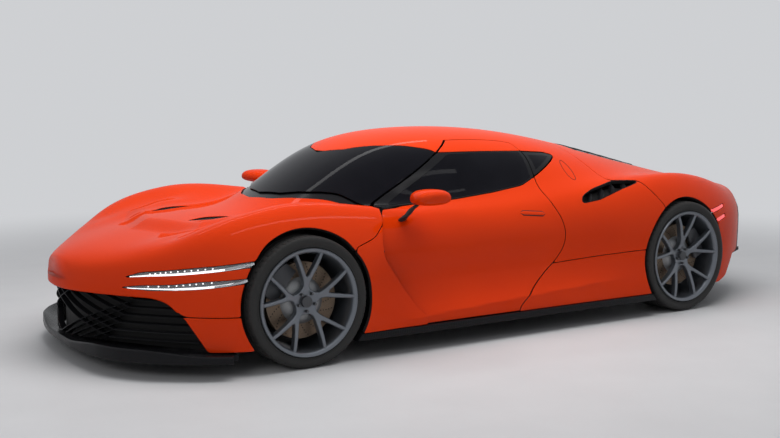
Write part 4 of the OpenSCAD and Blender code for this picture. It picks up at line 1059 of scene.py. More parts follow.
# nose grille: blades from the outer ends split into a diamond lattice in the middle
grille = {"rows": 6, "set": 0.040, "depth": 0.030, "thin": 0.0045, "slope": 0.40, "split": 0.40, "low": 0.130,
          "high": 0.372, "back": 0.085}


def noseAt(points):
    return findOn(points, [1, 2], lambda p: (p[:, 0] > 1.60) & (p[:, 2] < 0.50))


def bladeAlong(heap, line, group):
    line = alongLine(line, max(6, int(np.linalg.norm(np.diff(line, axis=0), axis=1).sum() / 0.02)))
    pos, normal = noseAt(line)
    inside = (grilleEdge(pos) < -0.004) & (pos[:, 2] > grille["low"] - 0.004) & (pos[:, 2] < grille["high"] + 0.012)
    start = None
    for k in range(len(pos) + 1):
        good = k < len(pos) and inside[k]
        if good and start is None:
            start = k
        if not good and start is not None:
            if k - start > 2:
                run = slice(start, k)
                thin, deep = grille["thin"], grille["depth"]
                section = [(-thin * 0.35, 0), (thin * 0.35, 0), (thin, -deep * 0.5), (thin, -deep), (-thin, -deep),
                           (-thin, -deep * 0.5)]
                heap.put(*sweep(pos[run] - normal[run] * grille["set"], normal[run], section), group)
            start = None


def noseGrille():
    heap = Heap()
    pitch = (grille["high"] - grille["low"]) / grille["rows"]
    for k in range(grille["rows"]):
        height = grille["low"] + pitch * (k + 0.5)
        split = grille["split"] + 0.03 * k
        for sign in (1, -1):
            outer = [(sign * (split + 0.62 * t), height + 0.012 * t) for t in np.linspace(0, 1, 12)]
            bladeAlong(heap, outer, 1 if k < 2 else 0)
            for lean in (1, -1):
                reach = (grille["high"] - height if lean > 0 else height - grille["low"]) / grille["slope"]
                bladeAlong(heap, [(sign * split, height),
                                  (sign * (split - reach), height + lean * reach * grille["slope"])], 0)
    heap.piece("grilleLattice", ("glossBlack", "satinBlack"), slot="black_trim", replaces=("grille",), angle=40)
    # near-black sheet behind the lattice: painted shade for the depth behind the grille
    panel("grilleBack", [(grilleEdge, 0.004, -1)], zone(x=(1.5, 9)), 0.006, paintedShade, roll=0.002, sunk=grille["back"],
          slot="black_trim")


# hood vents and side intakes: dark pockets crossed by slats; the near-black pocket floors are painted shade for the
# depth of the openings
vents = {"pocket": 0.026, "slats": 13, "slatWidth": 0.006, "slatSink": 0.010, "front": 1.650, "length": 0.225,
         "across": (0.24, 0.40), "slant": 0.008, "intakePocket": 0.055, "blades": 4, "bladeStart": .722,
         "bladePitch": .034, "bladeSlant": .012, "bladeRise": (0.74, 0.10), "bladeWidth": 0.016, "bladeSink": 0.030,
         "rim": 0.0035, "rimSink": 0.0015}


def ventsAndIntakes():
    panel("ventPockets", [(ventField, 0.001, -1)], zone(x=(1.2, 9), z=(0.45, 9)), 0.004, paintedShade, roll=0.001,
          sunk=vents["pocket"], slot="black_trim", replaces=("vent_inserts",))
    slats = Heap()
    for k in range(vents["slats"]):
        x = vents["front"] - vents["length"] * k / (vents["slats"] - 1)
        flat = np.stack([np.full(30, x) - np.linspace(-vents["slant"], vents["slant"], 30),
                         np.linspace(*vents["across"], 30)], 1)
        flat = flat[ventPoly(flat) < 0.003]
        if len(flat) > 2:
            pos, normal = onTop(flat)
            slats.mirrored(*sweep(pos - normal * vents["slatSink"], normal + np.array([0.9, 0, 0]),
                                  ringSection(vents["slatWidth"], 8, 0.22)))
    slats.piece("ventSlats", ("satinBlack",), slot="black_trim")
    panel("intakePockets", [(intake, 0.003, -1)], zone(x=(-1.3, -0.3)), 0.006, paintedShade, roll=0.002,
          sunk=vents["intakePocket"], slot="black_trim")
    blades, rims = Heap(), Heap()
    low, rise = vents["bladeRise"]
    for k in range(vents["blades"]):
        p = vents["bladeStart"] + vents["bladePitch"] * k
        pos, normal = onSide([(stationX(p + vents["bladeSlant"] * t), low + rise * t) for t in np.linspace(0, 1, 24)])
        inside = intake(pos) < 0.004
        if inside.sum() > 2:
            blades.mirrored(*sweep(pos[inside] - normal[inside] * vents["bladeSink"],
                                   normal[inside] + np.array([0.7, 0, 0]), ringSection(vents["bladeWidth"], 8, 0.16)))
    blades.piece("intakeBlades", ("glossBlack",), slot="black_trim")
    outline = np.array(rounded([(stationX(p), z / 1000) for p, z in intakeShape], 0.03))
    outline = alongLine(np.concatenate([outline, outline[:1]]), 90)[:-1]
    pos, normal = onSide(outline)
    rims.mirrored(*sweep(pos - normal * vents["rimSink"], normal, ringSection(vents["rim"], 6), closed=True))
    rims.piece("intakeRims", ("glossBlack",), slot="black_trim")


# fuel flap seam and flush door handles
flap = {"middle": (-0.612, 0.905), "half": (0.030, 0.055), "slant": 0.012, "seam": 0.0016}
handle = {"start": (-0.075, 0.690), "run": (-0.170, -0.014), "half": 0.013, "seam": 0.0165,
          "taper": ([0, 0.1, 0.9, 1], [0.25, 1, 1, 0.25])}


def sideDetails():
    heap = Heap()
    a = np.linspace(0, 2 * math.pi, 48, endpoint=False)
    (x, z), (halfX, halfZ) = flap["middle"], flap["half"]
    pos, normal = onSide(np.stack([x + halfX * np.cos(a) - flap["slant"] * np.sin(a), z + halfZ * np.sin(a)], 1))
    pos[:, 1] = np.abs(pos[:, 1])
    # the flap's shut line is a thin near-black ring on the surface: painted shade for the gap
    heap.mirrored(*sweep(pos, normal, ringSection(flap["seam"], 6), closed=True))
    heap.piece("fuelFlapSeam", ("innerDark",), slot="black_trim")
    (x, z), (runX, runZ) = handle["start"], handle["run"]
    pos, normal = onSide([(x + runX * t, z + runZ * t) for t in np.linspace(0, 1, 30)], True)
    size = np.interp(np.linspace(0, 1, 30), *handle["taper"])
    slim = np.stack([ringSection(handle["half"] * s, 10, 0.28) for s in size])
    # the wider, flatter ring takes the near-black second finish: painted shade for the gap around the flush handle
    edge = np.stack([ringSection(handle["seam"] * s, 10, 0.16) for s in size])
    for sign, word in leftRight:
        heap = Heap()
        for section, group in ((edge, 1), (slim, 0)):
            heap.put(*sided(*sweep(pos, normal, section), sign), group)
        heap.piece("doorHandle" + word.title(), painted, body="door_" + word, slot="paint")


# mirror pods: a rounded block, flatter below, on a slim arm
mirror = {"half": (0.112, 0.100, 0.050), "fill": (0.93, 0.98), "flat": 0.72, "pull": 0.12, "tilt": 0.004, "rings": 28,
          "sides": 40, "foot": (0.065, -0.118), "arm": 0.020, "from": 0.985}


def power(v, e):
    return np.sign(v) * np.abs(v) ** e


def mirrors():
    halfX, halfY, halfZ = mirror["half"]
    rings, sides = mirror["rings"], mirror["sides"]
    t = np.linspace(0.03, math.pi - 0.03, rings)[:, None]
    a = np.linspace(0, 2 * math.pi, sides, endpoint=False)[None]
    y = power(np.cos(t), 0.75) + 0 * a
    x = power(np.sin(t), 0.6) * power(np.cos(a), 0.75)
    z = power(np.sin(t), 0.6) * power(np.sin(a), 0.85)
    z = np.where(z < 0, z * mirror["flat"], z)
    x = x * (1 + mirror["pull"] * y) - mirror["pull"] * (1 - y)
    ids = np.arange(rings * sides).reshape(rings, sides)
    quads = np.stack([ids[:-1], np.roll(ids[:-1], -1, 1), np.roll(ids[1:], -1, 1), ids[1:]], -1).reshape(-1, 4)
    for sign, word in leftRight:
        co = np.array([v.co[:] for v in nodes["mirror_" + word].data.vertices])
        pod = co[np.abs(co[:, 1]) > mirror["from"]]
        middle = (pod.min(0) + pod.max(0)) / 2
        centreY = np.abs(co[:, 1]).max() - halfY
        heap = Heap()
        verts = np.stack([middle[0] + x * halfX * mirror["fill"][0], centreY + y * halfY,
                          middle[2] + z * halfZ * mirror["fill"][1] + mirror["tilt"] * y], -1).reshape(-1, 3)
        heap.put(*sided(verts, [quads, ids[0][::-1][None], ids[-1][None]], sign), 0)
        # arm down to the door
        foot, normal = onSide([(middle[0] + mirror["foot"][0], middle[2] + mirror["foot"][1])], True)
        path = alongLine([foot[0] - normal[0] * 0.012, foot[0] + normal[0] * 0.02 + [-0.005, 0.01, 0.012],
                          [middle[0] + 0.03, centreY - 0.085, middle[2] - 0.052],
                          [middle[0] + 0.006, centreY - 0.03, middle[2] - 0.012]], 18)
        for _ in range(3):
            path[1:-1] = (path[:-2] + 2 * path[1:-1] + path[2:]) / 4
        section = np.stack([ringSection(mirror["arm"] * s, 10, 0.42) for s in np.linspace(1.5, 1.0, 18)])
        heap.put(*sided(*sweep(path, np.tile([0, 0.3, 1.0], (18, 1)), section), sign), 1)
        heap.piece("mirrorPod" + word.title(), ("orangePaint", "satinBlack"), body="door_" + word, slot="paint",
                   replaces=("mirror_" + word,), angle=60)


headlamps()
noseGrille()
ventsAndIntakes()
sideDetails()
mirrors()
print("stage: lamps, grille, vents, mirrors")


# wheels: five forked spokes drawn as one smooth outline, crowned and rounded at its edges
wheel = {"face": 0.968, "spokes": 5, "hub": 0.064, "fork": 0.116, "stem": 0.0185, "arm": (0.0130, 0.0095),
         "spread": math.radians(16.5), "blend": 0.022, "round": 0.009, "thick": 0.030, "step": 0.0036,
         "discPlane": 0.118, "disc": 0.195, "discThick": 0.034, "dish": (0.046, 0.006), "dishReach": 0.88,
         "flange": 0.962, "backStep": 0.006}
tyre = {"segments": 320, "blocks": 64, "groove": 0.006, "grooves": (0.56, 0.19), "slim": 0.0045, "cut": 0.0045}
bolt = {"ring": 0.047, "set": -0.046, "size": (0.0085, 0.016, 6)}
hole = {"rows": 18, "each": 5, "start": 0.128, "pitch": 0.0135, "twist": 0.05, "proud": 0.0001,
        "size": (0.0038, 0.0006, 10)}
wheelSpots = {"front": {"x": 1.330, "z": 0.330, "rim": 0.270, "tyre": 0.330, "width": 0.255},
              "rear": {"x": -1.370, "z": 0.348, "rim": 0.285, "tyre": 0.348, "width": 0.315}}


def segmentField(q, a, b, wideA, wideB):
    a, b = np.array(a), np.array(b)
    d = b - a
    t = np.clip(((q - a) @ d) / (d @ d), 0, 1)
    return np.hypot(q[:, 0] - a[0] - t * d[0], q[:, 1] - a[1] - t * d[1]) - (wideA + (wideB - wideA) * t)


def meld(a, b, k):
    h = np.clip(0.5 + 0.5 * (b - a) / k, 0, 1)
    return b + (a - b) * h - k * h * (1 - h)


def spokeField(q, rim):
    r = np.hypot(q[:, 0], q[:, 1])
    angle = np.arctan2(q[:, 0], q[:, 1])
    part = 2 * math.pi / wheel["spokes"]
    angle = np.abs((angle + part / 2) % part - part / 2)
    f = np.stack([r * np.sin(angle), r * np.cos(angle)], 1)
    tip = (rim * 0.97 * math.sin(wheel["spread"]), rim * 0.97 * math.cos(wheel["spread"]))
    stem = segmentField(f, (0, 0.04), (0, wheel["fork"] - 0.006), wheel["stem"], wheel["stem"] * 0.86)
    arm = segmentField(f, (0.004, wheel["fork"] - 0.018), tip, *wheel["arm"])
    out = meld(stem, arm, wheel["blend"] * 0.5)
    out = meld(out, r - wheel["hub"], wheel["blend"])
    return meld(out, rim * 0.966 - r, wheel["blend"] * 0.7)


def spin(profile, segments):
    # profile of (axial, radius) pairs turned about the wheel axis
    profile = np.asarray(profile, float)
    a = np.linspace(0, 2 * math.pi, segments, endpoint=False)
    along = np.tile(profile[:, 0], (segments, 1))
    radius = profile[:, 1]
    verts = np.stack([np.outer(np.sin(a), radius), along, np.outer(np.cos(a), radius)], -1).reshape(-1, 3)
    ids = np.arange(len(verts)).reshape(segments, -1)
    following = np.roll(ids, -1, 0)
    quads = np.stack([ids, following, np.roll(following, -1, 1), np.roll(ids, -1, 1)], -1).reshape(-1, 4)
    return verts, outwardFaces(verts, [quads])


def wheelFace(rim):
    step = wheel["step"]
    radii = np.arange(0.004, rim * 0.985, step)
    verts, tris = [(0, 0)], []
    counts = [max(5, int(round(2 * math.pi * r / step / 5)) * 5) for r in radii]
    rings = []
    total = 1
    for r, n in zip(radii, counts):
        a = np.linspace(0, 2 * math.pi, n, endpoint=False)
        verts += list(zip(r * np.sin(a), r * np.cos(a)))
        rings.append(total + np.arange(n))
        total += n
    first = rings[0]
    tris += [(0, first[k], first[(k + 1) % len(first)]) for k in range(len(first))]
    for low, high in zip(rings[:-1], rings[1:]):
        i = j = 0
        n, m = len(low), len(high)
        while i < n or j < m:
            if j < m and (i >= n or (j + 1) * n <= (i + 1) * m):
                tris.append((low[i % n], high[j % m], high[(j + 1) % m]))
                j += 1
            else:
                tris.append((low[i % n], high[j % m], low[(i + 1) % n]))
                i += 1
    q, tri = np.array(verts, float), np.array(tris)
    f = spokeField(q, rim)
    over = (f > 0)[tri]
    count = over.sum(1)
    keep = [tri[count == 0]]
    fresh, made = [], {}
    q = list(map(tuple, q))

    def crossing(a, b):
        key = (min(a, b), max(a, b))
        if key not in made:
            t = f[key[0]] / (f[key[0]] - f[key[1]])
            made[key] = len(q)
            (x0, y0), (x1, y1) = q[key[0]], q[key[1]]
            q.append((x0 + (x1 - x0) * t, y0 + (y1 - y0) * t))
        return made[key]
    mixed = (count == 1) | (count == 2)
    for t, s in zip(tri[mixed], over[mixed]):
        k = int(np.argmax(s)) if s.sum() == 1 else int(np.argmin(s))
        a, b, c = t[k], t[(k + 1) % 3], t[(k + 2) % 3]
        ab, ac = crossing(a, b), crossing(a, c)
        fresh += [(ab, b, c), (ab, c, ac)] if s.sum() == 1 else [(a, ab, ac)]
    q = np.array(q)
    tri = np.concatenate(keep + [np.array(fresh)])
    used, inverse = np.unique(tri, return_inverse=True)
    q, tri = q[used], inverse.reshape(-1, 3)
    r = np.hypot(q[:, 0], q[:, 1])
    f = np.minimum(spokeField(q, rim), 0)
    w = wheel["round"]
    bend = np.clip(1 + f / w, 0, 1)
    edgeDrop = np.where(r < rim * wheel["flange"], w * (1 - np.sqrt(np.maximum(0, 1 - bend ** 2))), 0)
    dish = wheel["dish"][0] * (1 - smooth(r / (rim * wheel["dishReach"]))) + wheel["dish"][1]
    front = -dish - edgeDrop
    pos = np.stack([q[:, 0], front, q[:, 1]], 1)
    back = np.stack([q[:, 0], -dish - wheel["thick"] - wheel["backStep"], q[:, 1]], 1)
    rimLine = rimEdges(tri)
    n = len(pos)
    walls = np.stack([rimLine[:, 1], rimLine[:, 0], rimLine[:, 0] + n, rimLine[:, 1] + n], 1)
    verts = np.concatenate([pos, back])
    return verts, outwardFaces(verts, [tri, walls, tri[:, ::-1] + n])


def wheelParts(kind):
    spot = wheelSpots[kind]
    rim, wide = spot["rim"], spot["width"]
    heap = Heap()
    heap.put(*wheelFace(rim), 0)
    # barrel with a stepped flange at the face
    barrel = [(0.0, rim * 0.975), (0.001, rim * 0.995), (-0.004, rim + 0.002), (-0.014, rim + 0.001),
              (-0.018, rim - 0.010), (-0.070, rim - 0.020), (-wide + 0.030, rim - 0.024),
              (-wide + 0.010, rim - 0.002), (-wide + 0.004, rim - 0.004), (-wide + 0.010, rim - 0.016),
              (-wide + 0.030, rim - 0.034), (-0.072, rim - 0.030), (-0.030, rim - 0.026), (-0.012, rim - 0.022),
              (-0.003, rim - 0.014)]
    heap.put(*spin(barrel, 120), 0)
    # hub cap, bare
    cap = [(-0.052, 0.0005), (-0.046, 0.001), (-0.0455, 0.018), (-0.047, 0.026), (-0.050, 0.0285), (-0.056, 0.0285),
           (-0.058, 0.0005)]
    heap.put(*spin(cap, 48), 1)
    # vented disc with its bell
    plane, half, outer = -wheel["discPlane"], wheel["discThick"] / 2, wheel["disc"]
    for low, high in ((half - 0.011, half), (-half, -half + 0.011)):
        disc = [(plane + high, 0.118), (plane + high, outer - 0.001), (plane + high - 0.001, outer),
                (plane + low, outer), (plane + low, 0.118)]
        heap.put(*spin(disc, 120), 2)
    core = [(plane + half - 0.011, 0.118), (plane + half - 0.011, outer - 0.012),
            (plane - half + 0.011, outer - 0.012), (plane - half + 0.011, 0.118)]
    heap.put(*spin(core, 96), 3)
    bell = [(plane - half, 0.119), (plane + half, 0.119), (plane + half + 0.018, 0.100),
            (plane + half + 0.022, 0.080), (plane + half + 0.022, 0.040), (plane - half, 0.040)]
    heap.put(*spin(bell, 80), 3)
    return heap


def tyreShape(spot):
    half, rim, r = spot["width"] / 2, spot["rim"], spot["tyre"]
    high = r - rim
    side = [(0.80, rim - 0.004), (0.885, rim + 0.001), (0.945, rim + 0.006), (0.952, rim + 0.010),
            (0.945, rim + 0.0125), (0.975, rim + high * 0.36), (0.995, rim + high * 0.52), (0.998, rim + high * 0.62),
            (0.990, r - 0.017), (0.984, r - 0.0155), (0.968, r - 0.0105), (0.930, r - 0.0055), (0.88, r - 0.0032),
            (0.80, r - 0.0018), (0.72, r - 0.001)]
    profile = [(y * half, z) for y, z in side]
    foot, slim = r - tyre["groove"], tyre["slim"]
    for g in tyre["grooves"]:
        y = g * half
        profile += [(y + slim, r - 0.0004), (y + slim - 0.001, foot), (y - slim + 0.001, foot),
                    (y - slim, r - 0.0002)]
    profile.append((0.0, r))
    profile = profile + [(-y, z) for y, z in profile[-2::-1]]
    inside = [(-0.80 * half, rim - 0.008), (0.80 * half, rim - 0.008)]
    profile = np.array(profile + inside)
    verts, faces = spin(profile, tyre["segments"])
    # cross cuts on the shoulders, slanted with the way of turning
    angle = np.arctan2(verts[:, 0], verts[:, 2]) / (2 * math.pi) * tyre["blocks"]
    y = np.abs(verts[:, 1] / half)
    r0 = np.hypot(verts[:, 0], verts[:, 2])
    cut = ((angle + 0.9 * y) % 1 < 0.19) & (y > 0.60) & (y < 0.95) & (r0 > r - 0.012)
    cut |= ((angle * 0.5 + 0.7 * y + 0.3) % 1 < 0.10) & (y < 0.52) & (y > 0.23) & (r0 > r - 0.003)
    verts[:, [0, 2]] *= np.where(cut, (r0 - tyre["cut"]) / r0, 1)[:, None]
    return verts, faces


def ringPoint(radius, angle, y):
    return (radius * math.sin(angle), y, radius * math.cos(angle))


def wheels():
    bolts = [ringPoint(bolt["ring"], 2 * math.pi * (k + 0.5) / wheel["spokes"], bolt["set"])
             for k in range(wheel["spokes"])]
    holes, holeFacing = [], []
    for row in range(hole["rows"]):
        for k in range(hole["each"]):
            for side in (1, -1):
                y = -wheel["discPlane"] + side * (wheel["discThick"] / 2 + hole["proud"])
                holes.append(ringPoint(hole["start"] + hole["pitch"] * k,
                                       2 * math.pi * row / hole["rows"] + hole["twist"] * k, y))
                holeFacing.append((0, side, 0))
    # disc holes are flat near-black dots on the disc faces: painted shade standing in for the drilled holes
    studs = (("wheelBolts", bolts, [(0, 1, 0)] * len(bolts), bolt["size"], "darkSteel"),
             ("discHoles", holes, holeFacing, hole["size"], "innerDark"))
    for kind, spot in wheelSpots.items():
        parts = wheelParts(kind)
        rubber = tyreShape(spot)
        for sign, word in leftRight:
            body = f"wheel_{kind}_{word}"
            tag = kind.title() + word.title()
            turn, shift = [1, sign, 1], np.array([spot["x"], sign * wheel["face"], spot["z"]])
            verts, faces = sided(np.concatenate(parts.verts), parts.faces, sign)
            newPiece("forkedWheel" + tag, verts + shift, faces,
                     ("wheelAlloy", "glossBlack", "bronzeDisc", "castAlloy"), np.concatenate(parts.groups), body=body,
                     slot="wheel_alloy", replaces=(body,), angle=38)
            middle = np.array([spot["x"], sign * (wheel["face"] - spot["width"] / 2), spot["z"]])
            verts, faces = sided(*rubber, sign)
            newPiece("roadTyre" + tag, verts + middle, faces, ("tyreRubber",), body=body, slot="tyre",
                     replaces=(f"tyre_{kind}_{word}",), angle=30)
            for name, spots, facings, size, finish in studs:
                stamp(name + tag, "Stud", np.array(spots) * turn + shift, np.array(facings) * turn, *size, finish,
                      body, "steel")


wheels()
print("stage: wheels and tyres")


# a bevelled copy of a CAD solid, for pieces whose shape is right but whose edges are sharp
def softened(node, name, finish, width, body="car_body", slot=None, segments=2):
    source = nodes[node].data
    mesh = bpy.data.meshes.new(name)
    mesh.from_pydata([v.co[:] for v in source.vertices], [], [p.vertices[:] for p in source.polygons])
    bm = bmesh.new()
    bm.from_mesh(mesh)
    bmesh.ops.remove_doubles(bm, verts=bm.verts, dist=0.00005)
    bmesh.ops.dissolve_limit(bm, angle_limit=math.radians(1), verts=bm.verts, edges=bm.edges)
    sharp = [e for e in bm.edges if len(e.link_faces) == 2 and e.calc_face_angle(0) > math.radians(28)]
    if sharp:
        bmesh.ops.bevel(bm, geom=sharp, offset=width, segments=segments, profile=0.5, affect="EDGES",
                        clamp_overlap=True)
    bm.to_mesh(mesh)
    bm.free()
    mesh.materials.append(mats[finish])
    mesh.polygons.foreach_set("use_smooth", np.ones(len(mesh.polygons), bool))
    mesh.set_sharp_from_angle(angle=math.radians(40))
    return adopt(mesh, name, body, slot, (node,))


splitter = {"edge": [(2.300, 0), (2.296, .20), (2.277, .35), (2.246, .50), (2.190, .62), (2.080, .76), (1.900, .90),
                     (1.745, .972)],
            "height": 0.098, "lift": 0.030, "start": (0.15, 0.35), "stop": (0.97, 0.25), "deckFrom": 0.10,
            "deckIn": (0.045, 0.05)}


def splitterBlade():
    half = alongLine(splitter["edge"], 70)
    for _ in range(6):
        half[1:-1] = (half[:-2] + 2 * half[1:-1] + half[2:]) / 4
    edge = np.concatenate([half[::-1] * [1, -1], half[1:]])
    path = np.column_stack([edge, np.full(len(edge), splitter["height"])])
    (start, fadeIn), (stop, fadeOut) = splitter["start"], splitter["stop"]
    side = np.abs(edge[:, 1])
    rise = splitter["lift"] * smooth((side - start) / fadeIn) * smooth((stop - side) / fadeOut)
    section = np.array([[(-.090, -.018), (-.006, -.020), (.003, -.014), (.006, -.002), (.004, .012 + h),
                         (-.003, .018 + h), (-.012, .017 + h), (-.040, .016 + h * .25), (-.090, .014)] for h in rise])
    heap = Heap()
    heap.put(*sweep(path, np.tile([0, 0, 1.0], (len(path), 1)), section))
    rows = half[half[:, 1] > splitter["deckFrom"]]
    back, inset = splitter["deckIn"]
    deck = np.array([[(-y, -.016), (y, -.016), (y, .013), (-y, .013)] for y in np.maximum(rows[:, 1] - inset, inset)])
    middle = np.column_stack([rows[:, 0] - back, 0 * rows[:, 0], np.full(len(rows), splitter["height"])])
    heap.put(*sweep(middle, np.tile([0, 0, 1.0], (len(middle), 1)), deck))
    heap.piece("splitterBlade", ("carbonWeave",), slot="carbon", replaces=("splitter",), angle=40)


edges = {"skirts": 0.006, "diffuser": 0.004, "cabin": 0.012, "metal": 0.003, "uprights": 0.0025, "seats": 0.020}


def dressedSolids():
    splitterBlade()
    softened("side_skirts", "skirtBlades", "carbonWeave", edges["skirts"], slot="carbon")
    softened("diffuser", "diffuserFins", "carbonWeave", edges["diffuser"], slot="carbon")
    softened("dashboard", "dashboardBody", "cabinTrim", edges["cabin"], slot="cabin_trim", segments=3)
    softened("engine", "engineBlock", "castAlloy", edges["metal"], slot="engine_alloy")
    softened("rear_uprights", "rearUprights", "caliperGrey", edges["uprights"], slot="steel")
    for word in ("left", "right"):
        softened("front_upright_" + word, "frontUpright" + word.title(), "caliperGrey", edges["uprights"],
                 "steer_" + word, "steel")
    plain = {"tail_panel": "satinBlack", "floor_pan": "carbonWeave", "tub": "carbonWeave", "front_frame": "darkSteel",
             "rear_frame": "darkSteel", "wheel_liners": "innerDark", "steering_wheel": "seatLeather",
             "front_wishbones": "darkSteel", "rear_wishbones": "darkSteel"}
    for node, finish in plain.items():
        nodes[node].data.materials.clear()
        nodes[node].data.materials.append(mats[finish])


dressedSolids()
print("stage: solids dressed")


# seats: a hard shell with crowned pads, channels and a stitched edge
seat = {"x": -0.090, "floor": 0.122, "y": 0.345, "base": -math.atan2(0.060, 0.38), "back": math.radians(70),
        "pads": [((0.460, 0, 0.205), (0.185, 0.135, 0.042), "base"),
                 ((0.460, 0.190, 0.225), (0.190, 0.048, 0.050), "base"),
                 ((0.460, -0.190, 0.225), (0.190, 0.048, 0.050), "base"),
                 ((0.165, 0, 0.430), (0.225, 0.135, 0.042), "back"),
                 ((0.180, 0.190, 0.420), (0.200, 0.046, 0.055), "back"),
                 ((0.180, -0.190, 0.420), (0.200, 0.046, 0.055), "back"),
                 ((0.062, 0, 0.665), (0.062, 0.125, 0.040), "back")],
        "stitched": (0, 3), "stitches": 44, "stitchIn": 0.86, "stitchSize": (0.0011, 0.0060, 6)}


def padShape(centre, half, lean, exponent=0.45, steps=16):
    grid = np.linspace(-1, 1, steps + 1)
    verts, faces, count = [], [], 0
    for axis in range(3):
        for sign in (1, -1):
            a, b = np.meshgrid(grid, grid, indexing="ij")
            cube = np.zeros((steps + 1, steps + 1, 3))
            cube[..., axis] = sign
            cube[..., (axis + 1) % 3] = a
            cube[..., (axis + 2) % 3] = b * sign
            verts.append(cube.reshape(-1, 3))
            ids = count + np.arange((steps + 1) ** 2).reshape(steps + 1, -1)
            faces.append(np.stack([ids[:-1, :-1], ids[1:, :-1], ids[1:, 1:], ids[:-1, 1:]], -1).reshape(-1, 4))
            count += (steps + 1) ** 2
    v = np.concatenate(verts)
    v = v / (np.abs(v) ** (2 / exponent)).sum(1)[:, None] ** (exponent / 2)
    v[:, 2] *= 1 - 0.16 * (v[:, 0] ** 2 + v[:, 1] ** 2) / 2
    channels = np.exp(-((v[:, 0] - 0.34) / 0.05) ** 2) + np.exp(-((v[:, 0] + 0.34) / 0.05) ** 2)
    v[:, 2] -= 0.10 * channels * (v[:, 2] > 0)
    v = v * np.array(half)
    c, s = math.cos(lean), math.sin(lean)
    v = np.stack([v[:, 0] * c + v[:, 2] * s, v[:, 1], -v[:, 0] * s + v[:, 2] * c], 1)
    return v + np.array(centre), faces


def seats():
    softened("seats", "seatShells", "carbonWeave", edges["seats"], slot="carbon", segments=3)
    pads = Heap()
    stitches, facing = [], []
    for side in (1, -1):
        foot = np.array([seat["x"], side * seat["y"], seat["floor"]])
        for spot, half, part in seat["pads"]:
            pads.put(*padShape(foot + spot, half, seat[part]))
        for spot, half, part in (seat["pads"][k] for k in seat["stitched"]):
            c, s = math.cos(seat[part]), math.sin(seat[part])
            for edge in (-1, 1):
                for t in np.linspace(-0.85, 0.85, seat["stitches"]):
                    x, y, z = t * half[0], edge * half[1] * seat["stitchIn"], half[2] * seat["stitchIn"]
                    stitches.append(foot + spot + [x * c + z * s, y, z * c - x * s])
                    facing.append((c, 0, -s))
    piece = pads.piece("seatPads", ("seatLeather",), slot="upholstery", angle=60)
    bm = bmesh.new()
    bm.from_mesh(piece.data)
    bmesh.ops.remove_doubles(bm, verts=bm.verts, dist=0.0002)
    bm.to_mesh(piece.data)
    bm.free()
    stamp("seatStitches", "Stud", stitches, facing, *seat["stitchSize"], "orangeThread", slot="upholstery")


# hooded binnacle ahead of the driver, wide screen in the middle, vents at the ends
dash = {"driver": 0.345, "hood": (0.165, 0.060), "vents": (-0.48, -0.22, 0.22, 0.48), "slats": 4, "pitch": 0.012}


def cabinDetails():
    low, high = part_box("dashboard")
    heap = Heap()
    a = np.linspace(0, math.pi, 24)
    wide, tall = dash["hood"]
    hood = np.stack([np.full(24, low[0] + 0.05), dash["driver"] + wide * np.cos(a),
                     high[2] - 0.012 + tall * np.sin(a) ** 0.7], 1)
    heap.put(*sweep(hood, np.tile([1.0, 0, 0], (24, 1)),
                    [(-0.006, -0.075), (0.006, -0.075), (0.008, 0.07), (-0.004, 0.07)]))

    def slab(x, y, z, half, lean, group):
        heap.put(*padShape((low[0] + x, y, high[2] + z), half, lean, 0.18, 10), group)
    slab(0.030, dash["driver"], 0.006, (0.004, 0.140, 0.038), 0.25, 1)
    slab(-0.006, 0.0, -0.070, (0.006, 0.130, 0.050), 0.25, 1)
    for y in dash["vents"]:
        for k in range(dash["slats"]):
            slab(-0.002, y, -0.062 - dash["pitch"] * k, (0.008, 0.042, 0.0022), 0.2, 2)
    heap.piece("dashDetails", ("cabinTrim", "darkScreen", "satinBlack"), slot="cabin_trim", angle=50)


seats()
cabinDetails()
print("stage: cabin")


# round exhaust tips in the tail, set in the black panel
exhaust = {"sides": (0.11, -0.11), "height": 0.40, "proud": 0.006,
           "ring": [(0.0, 0.050), (-0.003, 0.047), (-0.090, 0.047), (-0.090, 0.053), (0.002, 0.053), (0.003, 0.0515)]}


def tailDetails():
    low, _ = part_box("tail_panel")
    heap = Heap()
    verts, faces = spin(exhaust["ring"], 48)
    verts = np.stack([-verts[:, 1], verts[:, 0], verts[:, 2]], 1)
    for y in exhaust["sides"]:
        heap.put(verts + [low[0] + exhaust["proud"], y, exhaust["height"]], faces)
    heap.piece("exhaustTips", ("brightMetal",), slot="steel")


tailDetails()


# floor, light and camera
studio = {"floor": (0.66, 0.66, 0.67), "back": (0.62, 0.63, 0.65), "ambient": 0.26, "reach": 40, "fade": (2.4, 7.5),
          "lights": {"overheadBox": ((0.3, 0.6, 4.6), (0, 0, 0.6), (4.6, 2.6), 190, False),
                     "frontBox": ((5.5, 3.5, 3.0), (1.2, 0, 0.5), (2.4, 1.6), 40, False),
                     "leftStrip": ((0.2, 2.3, 4.4), (0.2, 0.4, 0.7), (5.0, 0.30), 16, True),
                     "rightStrip": ((0.2, -2.3, 4.4), (0.2, -0.4, 0.7), (5.0, 0.30), 16, True)}}
view = {"spot": (3.7208, 5.3891, 1.2941), "yaw": -0.57319, "pitch": 0.10891, "lens": 47.78}


def seenRays(tree):
    path = tree.nodes.new("ShaderNodeLightPath")
    camera, glossy, through = (Shade(tree, path.outputs[n])
                               for n in ("Is Camera Ray", "Is Glossy Ray", "Is Transmission Ray"))
    return (camera + glossy + through) > 0.5


